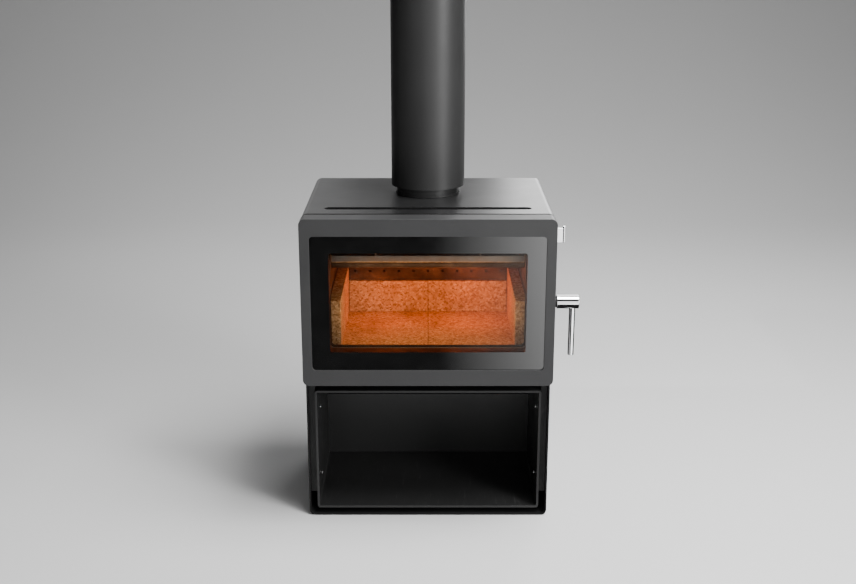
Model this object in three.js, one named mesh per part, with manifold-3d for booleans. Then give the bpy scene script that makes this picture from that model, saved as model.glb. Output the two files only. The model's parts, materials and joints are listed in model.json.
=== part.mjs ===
// Freestanding wood burning stove on a log store, built as separate pieces.
// Millimetres. +Z is up, the front faces -Y, and the origin is on the floor, in the middle of
// the casing's footprint.
import * as THREE from "three";
import { mergeVertices } from "three/addons/utils/BufferGeometryUtils.js";
import Module from "manifold-3d";

const wasm = await Module();
wasm.setup();

// ---- Driving dimensions ----
const FIT = 0.3; // gap left between two pieces that touch
const ROUND = 24; // sides of round pieces
const ROUND_SMALL = 16; // sides of pins, screws and thin bars
const ROUND_HUB = 32; // sides of the handle's hub
const ROUND_LARGE = 48; // sides of the flue's round pieces
const ARC = 6; // steps in a rounded corner

// Outer casing: one rounded steel wrap from floor to top, open at the front and the back
const CASING_WIDTH = 650;
const CASING_HEIGHT = 850;
const CASING_DEPTH = 455;
const CASING_WALL = 4;
const CASING_CORNER = 16;
const REAR_PANEL_THICK = 2;
const REAR_PANEL_INSET = 4;
const VENT_LENGTH = 70;
const VENT_HEIGHT = 8;
const VENT_COUNT = 5;
const VENT_MARGIN = 62.5; // casing's side to the first vent's share of the width
const VENT_FROM_END = 60; // shelf or casing's top to a row of vents

// Hot air slot in the top, just behind the door
const TOP_SLOT_FROM_SIDE = 55;
const TOP_SLOT_WIDTH = 26;
const TOP_SLOT_SETBACK = 62; // front edge of the casing to the middle of the slot

// Door
const DOOR_OVERHANG = 1; // how far the door stands proud of the casing's side
const DOOR_HEIGHT = 446;
const DOOR_DEPTH = 55;
const DOOR_GAP = 8; // between the door's back edge and the casing's front edge
const DOOR_FACE = 4;
const DOOR_WALL = 4;
const DOOR_CORNER = 16;
const BORDER_SIDE = 25.5;
const BORDER_TOP = 45;
const BORDER_BOTTOM = 43;
const OPENING_CORNER = 10;
const GLASS_THICK = 5;
const GLASS_LAP = 7; // how far the glass runs behind the door's face
const CLEAR_SIDE = 48; // edge of the opening to the clear middle of the glass
const CLEAR_TOP = 46;
const CLEAR_BOTTOM = 47;
const GASKET_THICK = 2;
const GASKET_WIDTH = 14;
const INNER_FRAME_WALL = 3;
const FLANGE_SHORT = 2; // inner frame's flange ends this far inside the glass's side edge
const TUNNEL_MARGIN = 3; // the inner frame's tunnel stands this far outside the clear glass
const ROPE_WIDTH = 12;
const ROPE_FLANGE = 18;

// Door hinges, at the left edge
const HINGE_FROM_SIDE = 12; // door's side to the pin's axis
const HINGE_FROM_BACK = 9; // door's back edge to the pin's axis
const HINGE_PIN_R = 4;
const HINGE_EYE_R = 8;
const HINGE_ARM_WIDTH = 12;
const HINGE_ARM_THICK = 8;
const HINGE_LUG_THICK = 10;
const HINGE_INSET = 60; // door's top or bottom to the middle of a hinge arm
const RUNNING = 0.35; // radial clearance round a pin that turns
const HINGE_PLATE_WIDTH = 30;
const HINGE_PLATE_THICK = 5;
const HINGE_PLATE_HEIGHT = 44;
const HINGE_LUG_GAP = 0.5; // between a hinge arm and the lug that stands on it
const HINGE_PIN_PROUD = 6; // how far a pin stands above its lug
const HINGE_NOTCH_CLEAR = 2; // round a hinge arm where it passes the door's side

// Handle and latch, at the right edge
const HANDLE_HEIGHT = 222; // door's bottom to the spindle's axis
const SPINDLE_R = 7;
const SPINDLE_INSIDE = 41; // how far the spindle reaches into the door from its side
const BUSH_R = 14;
const BUSH_LENGTH = 4.4;
const HUB_R = 17.5;
const HUB_LENGTH = 57;
const HUB_BORE_DEPTH = 30;
const ROD_R = 8.2;
const ROD_REACH = 144; // spindle's axis to the rod's lower end
const ROD_FROM_END = 16; // hub's outer end to the rod's axis
const ROD_SOCKET = 6; // how deep the rod sits in the hub
const CAM_THICK = 6;
const CAM_REACH = 52; // spindle's axis to the tip of the latch nose
const CAM_HALF_HEIGHT = 6;
const CAM_DISC_R = 9.6;
const CAM_CLEAR = 3; // between the cam's disc and the inner frame's flange
const CAM_BEVEL_LENGTH = 6; // sloped corner at the tip of the latch nose
const CAM_BEVEL_HEIGHT = 4;
const LATCH_SLOT_CLEAR = 4; // above the latch nose in the face plate's slot
const STRIKER_GAP = 1; // between the latch nose and the striker's bar
const STRIKER_SHEET = 3;
const STRIKER_DEPTH = 22;
const STRIKER_BAR_R = 4;
const STRIKER_BAR_SETBACK = 8; // face plate to the bar's axis
const STRIKER_RISE = 10; // bar's axis to the striker's top
const STRIKER_DROP = 16; // bar's axis to the lower end of the long cheek

// Firebox
const FIREBOX_SIDE_GAP = 60; // casing's side to the firebox
const FIREBOX_TOP_GAP = 75; // casing's top to the firebox
const FIREBOX_BACK_GAP = 75; // casing's back to the firebox
const FIREBOX_ABOVE_DOOR = 38; // door's bottom to the firebox's bottom
const FIREBOX_WALL = 5;
const FACE_SETBACK = 5; // casing's front edge to the face plate
const FACE_THICK = 5;
const FACE_SIDE_GAP = 5; // casing's inside to the face plate
const FACE_ABOVE_DOOR = 4; // door's bottom to the face plate's bottom
const FACE_TOP_GAP = 8;
const MOUTH_LAP = 2; // the mouth in the face plate is this much smaller than the door's tunnel, each side
const SHELF_DROP = 4; // door's bottom to the top of the shelf under the stove
const SHELF_THICK = 4;
const SHELF_LIP = 22;
const SUPPORT_WIDTH = 50;
const SUPPORT_INSET = 50; // firebox's side to the middle of a support
const SUPPORT_END_GAP = 20; // firebox's front or back to the end of a support
const SHEET = 3; // folded sheet inside the stove
const FLOOR_SHIELD_HEIGHT = 20;
const FLOOR_SHIELD_GAP = 8;
const REAR_SHIELD_GAP = 35; // firebox's back to the rear heat shield
const REAR_SHIELD_SIDE_GAP = 35;
const REAR_SHIELD_TOP_GAP = 50;
const REAR_SHIELD_FOOT = 28;

// Fire bricks and air system
const BRICK = 30; // thickness of every brick
const BRICK_GAP = 1;
const SIDE_BRICK_HEIGHT = 134;
const SIDE_BRICK_SETBACK = 4; // behind the floor bricks' front edge
const REAR_BRICK_HEIGHT = 93;
const MANIFOLD_DROP = 85; // firebox's top to the manifold's top
const MANIFOLD_DEPTH = 20;
const MANIFOLD_HOLES = 11;
const MANIFOLD_HOLE_R = 4;
const MANIFOLD_HOLE_SIDES = 8;
const MANIFOLD_HOLE_MARGIN = 18;
const MANIFOLD_HOLE_Z = 27; // up from the manifold's lower edge
const TUBE_R = 10;
const TUBE_WALL = 2;
const TUBE_SETBACKS = { front: 122, rear: 244 }; // firebox's front to each air tube's axis
const BAFFLE_THICK = 20;
const BAFFLE_FRONT_GAP = 100;
const DEFLECTOR_END_GAP = 10;
const DEFLECTOR_SETBACK = 3; // firebox's front to the deflector's face
const DEFLECTOR_DROP = 40; // firebox's top to the deflector's top
const DEFLECTOR_FACE = 16;
const DEFLECTOR_FLANGE = 22;
const DEFLECTOR_STUD_X = 136;
const DEFLECTOR_STUD_R = 3;
const DEFLECTOR_STUD_INSET = 4; // deflector's face to a stud's axis
const DEFLECTOR_STUD_SIDES = 12;
const DUCT_HEIGHT = 24;
const DUCT_DEPTH = 72;
const DUCT_WALL = 2;
const AIR_SLOT_END_GAP = 20;
const AIR_SLOT_WIDTH = 20;
const AIR_SLOT_SETBACK = 8; // firebox's front to the slot
const SLIDE_TRAVEL = 50;
const SLIDE_LENGTH = 68; // duct's front to the slide plate's back edge
const SLIDE_THICK = 3;
const GUIDE_LIP = 2; // wall above, below and outside the slide plate
const GUIDE_SLOT_INSET = 4.4; // guide's edge to the slot that the stem runs in
const GUIDE_PORT_INSET = 6; // guide's edge to the port that the slide covers
const STEM_R = 5;
const STEM_SETBACK = 37; // casing's front edge to the stem, with the slide forward
const STEM_SLOT_CLEAR = 1.5;
const KNOB_GAP = 5; // casing's side to the knob
const KNOB_WIDTH = 20;
const KNOB_HEIGHT = 38;
const KNOB_DROP = 3; // stem's axis to the middle of the knob's plate
const KNOB_PLATE = 5;
const KNOB_BAR_R = 4.2;
const KNOB_BAR_HEIGHT = 43;
const KNOB_BAR_LAP = 1; // how far the upright bar sinks into the plate's edge
const STEM_PAST_KNOB = 7; // how far the stem reaches into the knob's plate

// Flue
const FLUE_CENTRE = 41; // behind the middle of the casing
const FLUE_PIPE_R = 75;
const FLUE_PIPE_WALL = 1.5;
const FLUE_CASING_R = 100;
const FLUE_CASING_WALL = 1.5;
const FLUE_CASING_LIFT = 23; // casing's top to the flue casing's lower end
const FLUE_CASING_LENGTH = 600;
const FLUE_PIPE_PROUD = 20; // the inner pipe stands this far above its casing
const COLLAR_R = 85;
const COLLAR_BORE_R = 76;
const COLLAR_LIFT = 55; // casing's top to the collar's top
const COLLAR_CLEAR = 1; // round the collar in the casing's top
const COLLAR_LEDGE_R = 70;
const COLLAR_LEDGE_HEIGHT = 24;
const COLLAR_FLANGE_R = 100;
const COLLAR_FLANGE_THICK = 5;
const TRIM_RING_R = 88;
const TRIM_RING_HEIGHT = 5;
const SPACER_HEIGHT = 20;
const SPACER_WALL = 2;
const SPACER_TAB = 14;
const SPACER_TAB_SHORT = 1; // a tab ends this far inside the casing
const SPACER_DROP = 60; // flue casing's top to the upper spacer's lower edge

// Log store
const STORE_SIDE_GAP = 22; // casing's side to the log box
const STORE_BOTTOM = 20;
const STORE_TOP_GAP = 36; // shelf to the log box
const STORE_BACK_GAP = 81;
const STORE_SETBACK = 5;
const STORE_WALL = 2.5;
const STORE_HEM = 6;
const STORE_CORNER = 8;
const STORE_RIB_DROP = 159; // log box's top to the rib's lower edge
const STORE_RIB = 8;
const BRACKET_SETBACK = 22;
const BRACKET_LENGTH = 175;
const BRACKET_BOTTOM = 62;
const BRACKET_RISE = 10; // bracket's top above the log box
const STORE_SCREW_SETBACK = 115;
const STORE_SCREW_RISE = 55; // log box's bottom to its lower screws
const STORE_SCREW_DROP = 89; // log box's top to its upper screws
const SCREW_R = 2.5;
const SCREW_HEAD_R = 4.5;
const SCREW_HEAD = 3;
const SCREW_LENGTH = 10;

const HAIR = 0.01; // leaves a slot's rounded ends a straight edge between them

// ---- Places worked out from the sizes ----
const frontY = -CASING_DEPTH / 2;
const backY = CASING_DEPTH / 2;
const casingInside = CASING_WIDTH / 2 - CASING_WALL;
const doorHalf = CASING_WIDTH / 2 + DOOR_OVERHANG;
const doorBottom = CASING_HEIGHT - DOOR_HEIGHT;
const doorFrontY = frontY - DOOR_GAP - DOOR_DEPTH;
const shelfTop = doorBottom - SHELF_DROP;
const openingHalf = doorHalf - BORDER_SIDE;
const openingBottom = doorBottom + BORDER_BOTTOM;
const openingTop = CASING_HEIGHT - BORDER_TOP;
const tunnelHalf = openingHalf - CLEAR_SIDE + TUNNEL_MARGIN;
const tunnelBottom = openingBottom + CLEAR_BOTTOM - TUNNEL_MARGIN;
const tunnelTop = openingTop - CLEAR_TOP + TUNNEL_MARGIN;
const faceY = frontY + FACE_SETBACK;
const fireboxFrontY = faceY + FACE_THICK + FIT;
const fireboxBackY = backY - FIREBOX_BACK_GAP;
const fireboxHalf = CASING_WIDTH / 2 - FIREBOX_SIDE_GAP;
const fireboxBottom = doorBottom + FIREBOX_ABOVE_DOOR;
const fireboxTop = CASING_HEIGHT - FIREBOX_TOP_GAP;
const chamberHalf = fireboxHalf - FIREBOX_WALL;
const chamberBottom = fireboxBottom + FIREBOX_WALL;
const chamberTop = fireboxTop - FIREBOX_WALL;
const chamberBackY = fireboxBackY - FIREBOX_WALL;
const brickFloor = chamberBottom + FIT + BRICK;
const manifoldTop = fireboxTop - MANIFOLD_DROP;
const airSlotHalf = chamberHalf - AIR_SLOT_END_GAP;
const airSlotY = fireboxFrontY + AIR_SLOT_SETBACK;
const storeTop = shelfTop - STORE_TOP_GAP;
const handleZ = doorBottom + HANDLE_HEIGHT;
const glassY = doorFrontY + DOOR_FACE + FIT;
const gasketY = glassY + GLASS_THICK + FIT;
const innerFrameY = gasketY + GASKET_THICK + FIT;
const spindleY = innerFrameY + INNER_FRAME_WALL + CAM_DISC_R + CAM_CLEAR;
const hingeX = -doorHalf + HINGE_FROM_SIDE;
const hingeY = doorFrontY + DOOR_DEPTH - HINGE_FROM_BACK;
const hingeHeights = {
  lower: doorBottom + HINGE_INSET,
  upper: CASING_HEIGHT - HINGE_INSET,
};
const stemY = frontY + STEM_SETBACK;
const stemZ = fireboxTop + FIT + DUCT_HEIGHT / 2;
const camX = doorHalf - SPINDLE_INSIDE;

// ---- Materials ----
const finish = (color, roughness, metalness) =>
  new THREE.MeshStandardMaterial({ color, roughness, metalness });
const blackPaint = finish(0x1c1c1d, 0.5, 0.3);
const doorPaint = finish(0x404041, 0.55, 0.3);
const bareSteel = finish(0x5a5a58, 0.45, 0.8);
const sootedSteel = finish(0x2a2624, 0.8, 0.4);
const chrome = finish(0xdcdcdc, 0.12, 1.0);
const firebrick = finish(0xc9b184, 0.9, 0.0);
const ceramicGlass = finish(0x151515, 0.05, 0.0);
const gasketFibre = finish(0x4a4a46, 0.95, 0.0);

// ---- Helpers ----
const part = new THREE.Group();

function add(group, name, geometry, material) {
  const mesh = new THREE.Mesh(geometry, material);
  mesh.name = name;
  group.add(mesh);
  return mesh;
}

function assembly() {
  const group = new THREE.Group();
  part.add(group);
  return group;
}

// A rectangle from (x0, y0) to (x1, y1) with rounded corners, as an outline or as a hole.
function rectangle(x0, y0, x1, y1, radius = 0, outline = new THREE.Shape()) {
  if (radius === 0) {
    outline.moveTo(x0, y0);
    outline.lineTo(x1, y0);
    outline.lineTo(x1, y1);
    outline.lineTo(x0, y1);
    outline.closePath();
    return outline;
  }
  const quarter = Math.PI / 2;
  outline.moveTo(x0 + radius, y0);
  outline.lineTo(x1 - radius, y0);
  outline.absarc(x1 - radius, y0 + radius, radius, -quarter, 0);
  outline.lineTo(x1, y1 - radius);
  outline.absarc(x1 - radius, y1 - radius, radius, 0, quarter);
  outline.lineTo(x0 + radius, y1);
  outline.absarc(x0 + radius, y1 - radius, radius, quarter, 2 * quarter);
  outline.lineTo(x0, y0 + radius);
  outline.absarc(x0 + radius, y0 + radius, radius, 2 * quarter, 3 * quarter);
  return outline;
}

// A flat outline given as corner points.
function polygon(points) {
  return new THREE.Shape(points.map(([x, y]) => new THREE.Vector2(x, y)));
}

function extrude(shape, depth, segments = ARC) {
  return new THREE.ExtrudeGeometry(shape, {
    depth,
    bevelEnabled: false,
    curveSegments: segments,
  });
}

// An outline drawn in X and Z, given thickness from y0 to y1.
function slabY(shape, y0, y1, segments) {
  return extrude(shape, y1 - y0, segments)
    .rotateX(Math.PI / 2)
    .translate(0, y1, 0);
}

// An outline drawn in Y and Z, given thickness from x0 to x1.
function slabX(shape, x0, x1, segments) {
  const turn = new THREE.Matrix4().makeBasis(
    new THREE.Vector3(0, 1, 0),
    new THREE.Vector3(0, 0, 1),
    new THREE.Vector3(1, 0, 0),
  );
  return extrude(shape, x1 - x0, segments).applyMatrix4(turn).translate(x0, 0, 0);
}

// An outline drawn in X and Y, given thickness from z0 to z1.
function slabZ(shape, z0, z1, segments) {
  return extrude(shape, z1 - z0, segments).translate(0, 0, z0);
}

function box(x0, y0, z0, x1, y1, z1) {
  return new THREE.BoxGeometry(x1 - x0, y1 - y0, z1 - z0).translate(
    (x0 + x1) / 2,
    (y0 + y1) / 2,
    (z0 + z1) / 2,
  );
}

function cylinderZ(x, y, z0, z1, radius, sides = ROUND) {
  return new THREE.CylinderGeometry(radius, radius, z1 - z0, sides)
    .rotateX(Math.PI / 2)
    .translate(x, y, (z0 + z1) / 2);
}

function cylinderX(x0, x1, y, z, radius, sides = ROUND) {
  return new THREE.CylinderGeometry(radius, radius, x1 - x0, sides)
    .rotateZ(Math.PI / 2)
    .translate((x0 + x1) / 2, y, z);
}

// A round piece from a closed half-section of [radius, height] points listed anticlockwise.
function turned(points, sides = ROUND) {
  const closed = [...points, points[0]].map(([r, z]) => new THREE.Vector2(r, z));
  return new THREE.LatheGeometry(closed, sides).rotateX(Math.PI / 2);
}

function tube(inner, outer, z0, z1, sides = ROUND) {
  return turned([[inner, z0], [outer, z0], [outer, z1], [inner, z1]], sides);
}

// Booleans
function solid(geometry) {
  const plain = geometry.index ? geometry.toNonIndexed() : geometry.clone();
  const bare = new THREE.BufferGeometry();
  bare.setAttribute("position", plain.getAttribute("position"));
  const merged = mergeVertices(bare, 1e-3);
  return new wasm.Manifold(
    new wasm.Mesh({
      numProp: 3,
      vertProperties: merged.attributes.position.array,
      triVerts: new Uint32Array(merged.index.array),
    }),
  );
}

function geometryOf(manifold) {
  const mesh = manifold.getMesh();
  const positions = new Float32Array(mesh.numVert * 3);
  for (let i = 0; i < mesh.numVert; i++) {
    const first = i * mesh.numProp;
    positions.set(mesh.vertProperties.subarray(first, first + 3), i * 3);
  }
  const geometry = new THREE.BufferGeometry();
  geometry.setAttribute("position", new THREE.BufferAttribute(positions, 3));
  geometry.setIndex(new THREE.BufferAttribute(mesh.triVerts, 1));
  return geometry;
}

function cut(geometry, ...tools) {
  const left = tools.reduce((made, tool) => made.subtract(solid(tool)), solid(geometry));
  return geometryOf(left);
}

function join(...geometries) {
  return geometryOf(geometries.map(solid).reduce((made, next) => made.add(next)));
}

// ---- Casing ----
function buildCasing() {
  const group = assembly();
  const half = CASING_WIDTH / 2;
  const innerCorner = CASING_CORNER - CASING_WALL;
  const outline = rectangle(-half, 0, half, CASING_HEIGHT, CASING_CORNER);
  outline.holes.push(
    rectangle(
      -casingInside,
      CASING_WALL,
      casingInside,
      CASING_HEIGHT - CASING_WALL,
      innerCorner,
      new THREE.Path(),
    ),
  );
  const wrap = slabY(outline, frontY, backY);
  const slotY = frontY + TOP_SLOT_SETBACK;
  const topSlotHalf = half - TOP_SLOT_FROM_SIDE;
  const topSlot = slabZ(
    rectangle(
      -topSlotHalf,
      slotY - TOP_SLOT_WIDTH / 2,
      topSlotHalf,
      slotY + TOP_SLOT_WIDTH / 2,
      TOP_SLOT_WIDTH / 2,
    ),
    CASING_HEIGHT - CASING_CORNER,
    CASING_HEIGHT + CASING_CORNER,
  );
  const collarHole = cylinderZ(
    0,
    FLUE_CENTRE,
    CASING_HEIGHT - CASING_CORNER,
    CASING_HEIGHT + CASING_CORNER,
    COLLAR_R + COLLAR_CLEAR,
    ROUND_LARGE,
  );
  const reach = STEM_R + STEM_SLOT_CLEAR;
  const stemSlot = slabX(
    rectangle(
      stemY - reach,
      stemZ - reach,
      stemY + SLIDE_TRAVEL + reach,
      stemZ + reach,
      reach - HAIR,
    ),
    casingInside - CASING_WALL,
    half + CASING_WALL,
  );
  add(group, "casing_wrap", cut(wrap, topSlot, collarHole, stemSlot), blackPaint);

  const panelHalf = casingInside - FIT;
  const panel = rectangle(
    -panelHalf,
    CASING_WALL + FIT,
    panelHalf,
    CASING_HEIGHT - CASING_WALL - FIT,
    innerCorner,
  );
  const panelY = backY - REAR_PANEL_INSET;
  const pitch = (CASING_WIDTH - 2 * VENT_MARGIN) / VENT_COUNT;
  const vents = [];
  for (const row of [shelfTop + VENT_FROM_END, CASING_HEIGHT - VENT_FROM_END]) {
    for (let i = 0; i < VENT_COUNT; i++) {
      const middle = (i - (VENT_COUNT - 1) / 2) * pitch;
      vents.push(
        box(
          middle - VENT_LENGTH / 2,
          panelY - REAR_PANEL_THICK - FIT,
          row,
          middle + VENT_LENGTH / 2,
          panelY + FIT,
          row + VENT_HEIGHT,
        ),
      );
    }
  }
  const plate = slabY(panel, panelY - REAR_PANEL_THICK, panelY);
  add(group, "rear_panel", cut(plate, ...vents), blackPaint);

  const lipBottom = shelfTop - SHELF_LIP;
  const shelfBackY = panelY - REAR_PANEL_THICK - FIT;
  const shelf = cut(
    box(-panelHalf, faceY, lipBottom, panelHalf, shelfBackY, shelfTop),
    box(
      -panelHalf + SHELF_THICK,
      faceY + SHELF_THICK,
      lipBottom - FIT,
      panelHalf - SHELF_THICK,
      shelfBackY - SHELF_THICK,
      shelfTop - SHELF_THICK,
    ),
  );
  add(group, "divider_shelf", shelf, blackPaint);
}

// ---- Log store ----
function buildLogStore() {
  const group = assembly();
  const half = CASING_WIDTH / 2 - STORE_SIDE_GAP;
  const storeFrontY = frontY + STORE_SETBACK;
  const storeBackY = backY - STORE_BACK_GAP;
  const screwY = frontY + STORE_SCREW_SETBACK;
  const screwHeights = [STORE_BOTTOM + STORE_SCREW_RISE, storeTop - STORE_SCREW_DROP];

  const screwHoles = [];
  for (const z of screwHeights) {
    screwHoles.push(cylinderX(-half - SCREW_LENGTH, half + SCREW_LENGTH, screwY, z, SCREW_R + FIT));
  }
  const outline = (inset) =>
    rectangle(
      -half + inset,
      STORE_BOTTOM + inset,
      half - inset,
      storeTop - inset,
      STORE_CORNER - inset,
    );
  const shell = cut(
    slabY(outline(0), storeFrontY, storeBackY),
    slabY(outline(STORE_HEM), storeFrontY - FIT, storeFrontY + STORE_HEM),
    slabY(outline(STORE_WALL), storeFrontY + STORE_HEM - FIT, storeBackY - STORE_WALL),
    ...screwHoles,
  );
  const ribBottom = storeTop - STORE_RIB_DROP;
  const rib = box(
    -half + STORE_WALL,
    storeBackY - STORE_WALL - STORE_RIB,
    ribBottom,
    half - STORE_WALL,
    storeBackY - STORE_WALL,
    ribBottom + STORE_RIB,
  );
  add(group, "log_box", join(shell, rib), blackPaint);

  const bracketFrontY = frontY + BRACKET_SETBACK;
  const bracketBackY = bracketFrontY + BRACKET_LENGTH;
  const bracketTop = storeTop + BRACKET_RISE;
  for (const [side, name] of [[-1, "left"], [1, "right"]]) {
    const inner = half + FIT;
    const outer = casingInside - FIT;
    const section = polygon([
      [inner, bracketFrontY],
      [outer, bracketFrontY],
      [outer, bracketFrontY + SHEET],
      [inner + SHEET, bracketFrontY + SHEET],
      [inner + SHEET, bracketBackY - SHEET],
      [outer, bracketBackY - SHEET],
      [outer, bracketBackY],
      [inner, bracketBackY],
    ]);
    const bracket = slabZ(section, BRACKET_BOTTOM, bracketTop);
    if (side < 0) bracket.rotateY(Math.PI).translate(0, 0, BRACKET_BOTTOM + bracketTop);
    add(group, `store_bracket_${name}`, cut(bracket, ...screwHoles), blackPaint);

    screwHeights.forEach((z, i) => {
      const head = half - STORE_WALL - FIT;
      const screw = join(
        cylinderX(head - SCREW_HEAD, head, 0, 0, SCREW_HEAD_R, ROUND_SMALL),
        cylinderX(head - FIT, head + SCREW_LENGTH, 0, 0, SCREW_R, ROUND_SMALL),
      );
      if (side < 0) screw.rotateZ(Math.PI);
      const mesh = add(group, `store_screw_${name}_${i + 1}`, screw, bareSteel);
      mesh.position.set(0, screwY, z);
    });
  }
}

// ---- Firebox ----
function buildFirebox() {
  const group = assembly();
  const half = fireboxHalf;
  const shell = cut(
    box(-half, fireboxFrontY, fireboxBottom, half, fireboxBackY, fireboxTop),
    box(-chamberHalf, fireboxFrontY - FIT, chamberBottom, chamberHalf, chamberBackY, chamberTop),
    cylinderZ(0, FLUE_CENTRE, chamberTop - FIT, fireboxTop + FIT, COLLAR_LEDGE_R, ROUND_LARGE),
    box(
      -airSlotHalf,
      airSlotY,
      chamberTop - FIT,
      airSlotHalf,
      airSlotY + AIR_SLOT_WIDTH,
      fireboxTop + FIT,
    ),
  );
  add(group, "firebox_shell", shell, sootedSteel);

  const faceHalf = casingInside - FACE_SIDE_GAP;
  const face = rectangle(
    -faceHalf,
    doorBottom + FACE_ABOVE_DOOR,
    faceHalf,
    CASING_HEIGHT - CASING_WALL - FACE_TOP_GAP,
  );
  const mouth = rectangle(
    -tunnelHalf + MOUTH_LAP,
    tunnelBottom + MOUTH_LAP,
    tunnelHalf - MOUTH_LAP,
    tunnelTop - MOUTH_LAP,
    OPENING_CORNER,
  );
  const latchSlot = rectangle(
    camX - CAM_THICK,
    handleZ - CAM_REACH,
    camX + 2 * CAM_THICK,
    handleZ + CAM_HALF_HEIGHT + LATCH_SLOT_CLEAR,
  );
  const facePlate = cut(
    slabY(face, faceY, faceY + FACE_THICK),
    slabY(mouth, faceY - FIT, faceY + FACE_THICK + FIT),
    slabY(latchSlot, faceY - FIT, faceY + FACE_THICK + FIT),
  );
  add(group, "firebox_face_plate", facePlate, sootedSteel);

  // Striker: a hooked plate behind the face plate, with a bar above the latch nose
  const strikerY = faceY + FACE_THICK + FIT;
  const strikerBackY = strikerY + STRIKER_DEPTH;
  const barZ = handleZ + CAM_HALF_HEIGHT + STRIKER_GAP + STRIKER_BAR_R;
  const barY = strikerY + STRIKER_BAR_SETBACK;
  const strikerTop = barZ + STRIKER_RISE;
  const near = camX - CAM_THICK;
  const far = camX + 2 * CAM_THICK;
  const farSide = far + STRIKER_SHEET;
  const longCheek = box(far, strikerY, barZ - STRIKER_DROP, farSide, strikerBackY, strikerTop);
  const nearInside = near + STRIKER_SHEET;
  const shortCheek = box(near, strikerY, barZ - STRIKER_BAR_R, nearInside, strikerBackY, strikerTop);
  const roof = box(near, strikerY, strikerTop - STRIKER_SHEET, farSide, strikerBackY, strikerTop);
  const bar = cylinderX(near, far + STRIKER_SHEET / 2, barY, barZ, STRIKER_BAR_R, ROUND_SMALL);
  const striker = join(longCheek, roof, bar, shortCheek);
  add(group, "latch_striker", striker, bareSteel);

  const supportCentre = half - SUPPORT_INSET;
  for (const [side, name] of [[-1, "left"], [1, "right"]]) {
    const middle = side * supportCentre;
    const channel = polygon([
      [middle - SUPPORT_WIDTH / 2, shelfTop + FIT],
      [middle - SUPPORT_WIDTH / 2 + SHEET, shelfTop + FIT],
      [middle - SUPPORT_WIDTH / 2 + SHEET, fireboxBottom - FIT - SHEET],
      [middle + SUPPORT_WIDTH / 2 - SHEET, fireboxBottom - FIT - SHEET],
      [middle + SUPPORT_WIDTH / 2 - SHEET, shelfTop + FIT],
      [middle + SUPPORT_WIDTH / 2, shelfTop + FIT],
      [middle + SUPPORT_WIDTH / 2, fireboxBottom - FIT],
      [middle - SUPPORT_WIDTH / 2, fireboxBottom - FIT],
    ]);
    add(
      group,
      `firebox_support_${name}`,
      slabY(channel, fireboxFrontY + SUPPORT_END_GAP, fireboxBackY - SUPPORT_END_GAP),
      sootedSteel,
    );
  }

  const shieldHalf = supportCentre - SUPPORT_WIDTH / 2 - FLOOR_SHIELD_GAP;
  const shieldTop = shelfTop + FIT + FLOOR_SHIELD_HEIGHT;
  const tray = polygon([
    [-shieldHalf, shelfTop + FIT],
    [-shieldHalf + DUCT_WALL, shelfTop + FIT],
    [-shieldHalf + DUCT_WALL, shieldTop - DUCT_WALL],
    [shieldHalf - DUCT_WALL, shieldTop - DUCT_WALL],
    [shieldHalf - DUCT_WALL, shelfTop + FIT],
    [shieldHalf, shelfTop + FIT],
    [shieldHalf, shieldTop],
    [-shieldHalf, shieldTop],
  ]);
  const shield = slabY(tray, fireboxFrontY + SUPPORT_END_GAP, fireboxBackY - SUPPORT_END_GAP);
  add(group, "floor_heat_shield", shield, bareSteel);

  const shieldY = fireboxBackY + REAR_SHIELD_GAP;
  const shieldRise = CASING_HEIGHT - REAR_SHIELD_TOP_GAP;
  const shieldSide = CASING_WIDTH / 2 - REAR_SHIELD_SIDE_GAP;
  const rearSection = polygon([
    [shieldY, shelfTop + FIT],
    [shieldY + REAR_SHIELD_FOOT, shelfTop + FIT],
    [shieldY + REAR_SHIELD_FOOT, shelfTop + FIT + DUCT_WALL],
    [shieldY + DUCT_WALL, shelfTop + FIT + DUCT_WALL],
    [shieldY + DUCT_WALL, shieldRise],
    [shieldY, shieldRise],
  ]);
  add(
    group,
    "rear_heat_shield",
    slabX(rearSection, -shieldSide, shieldSide),
    bareSteel,
  );
}

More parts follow.
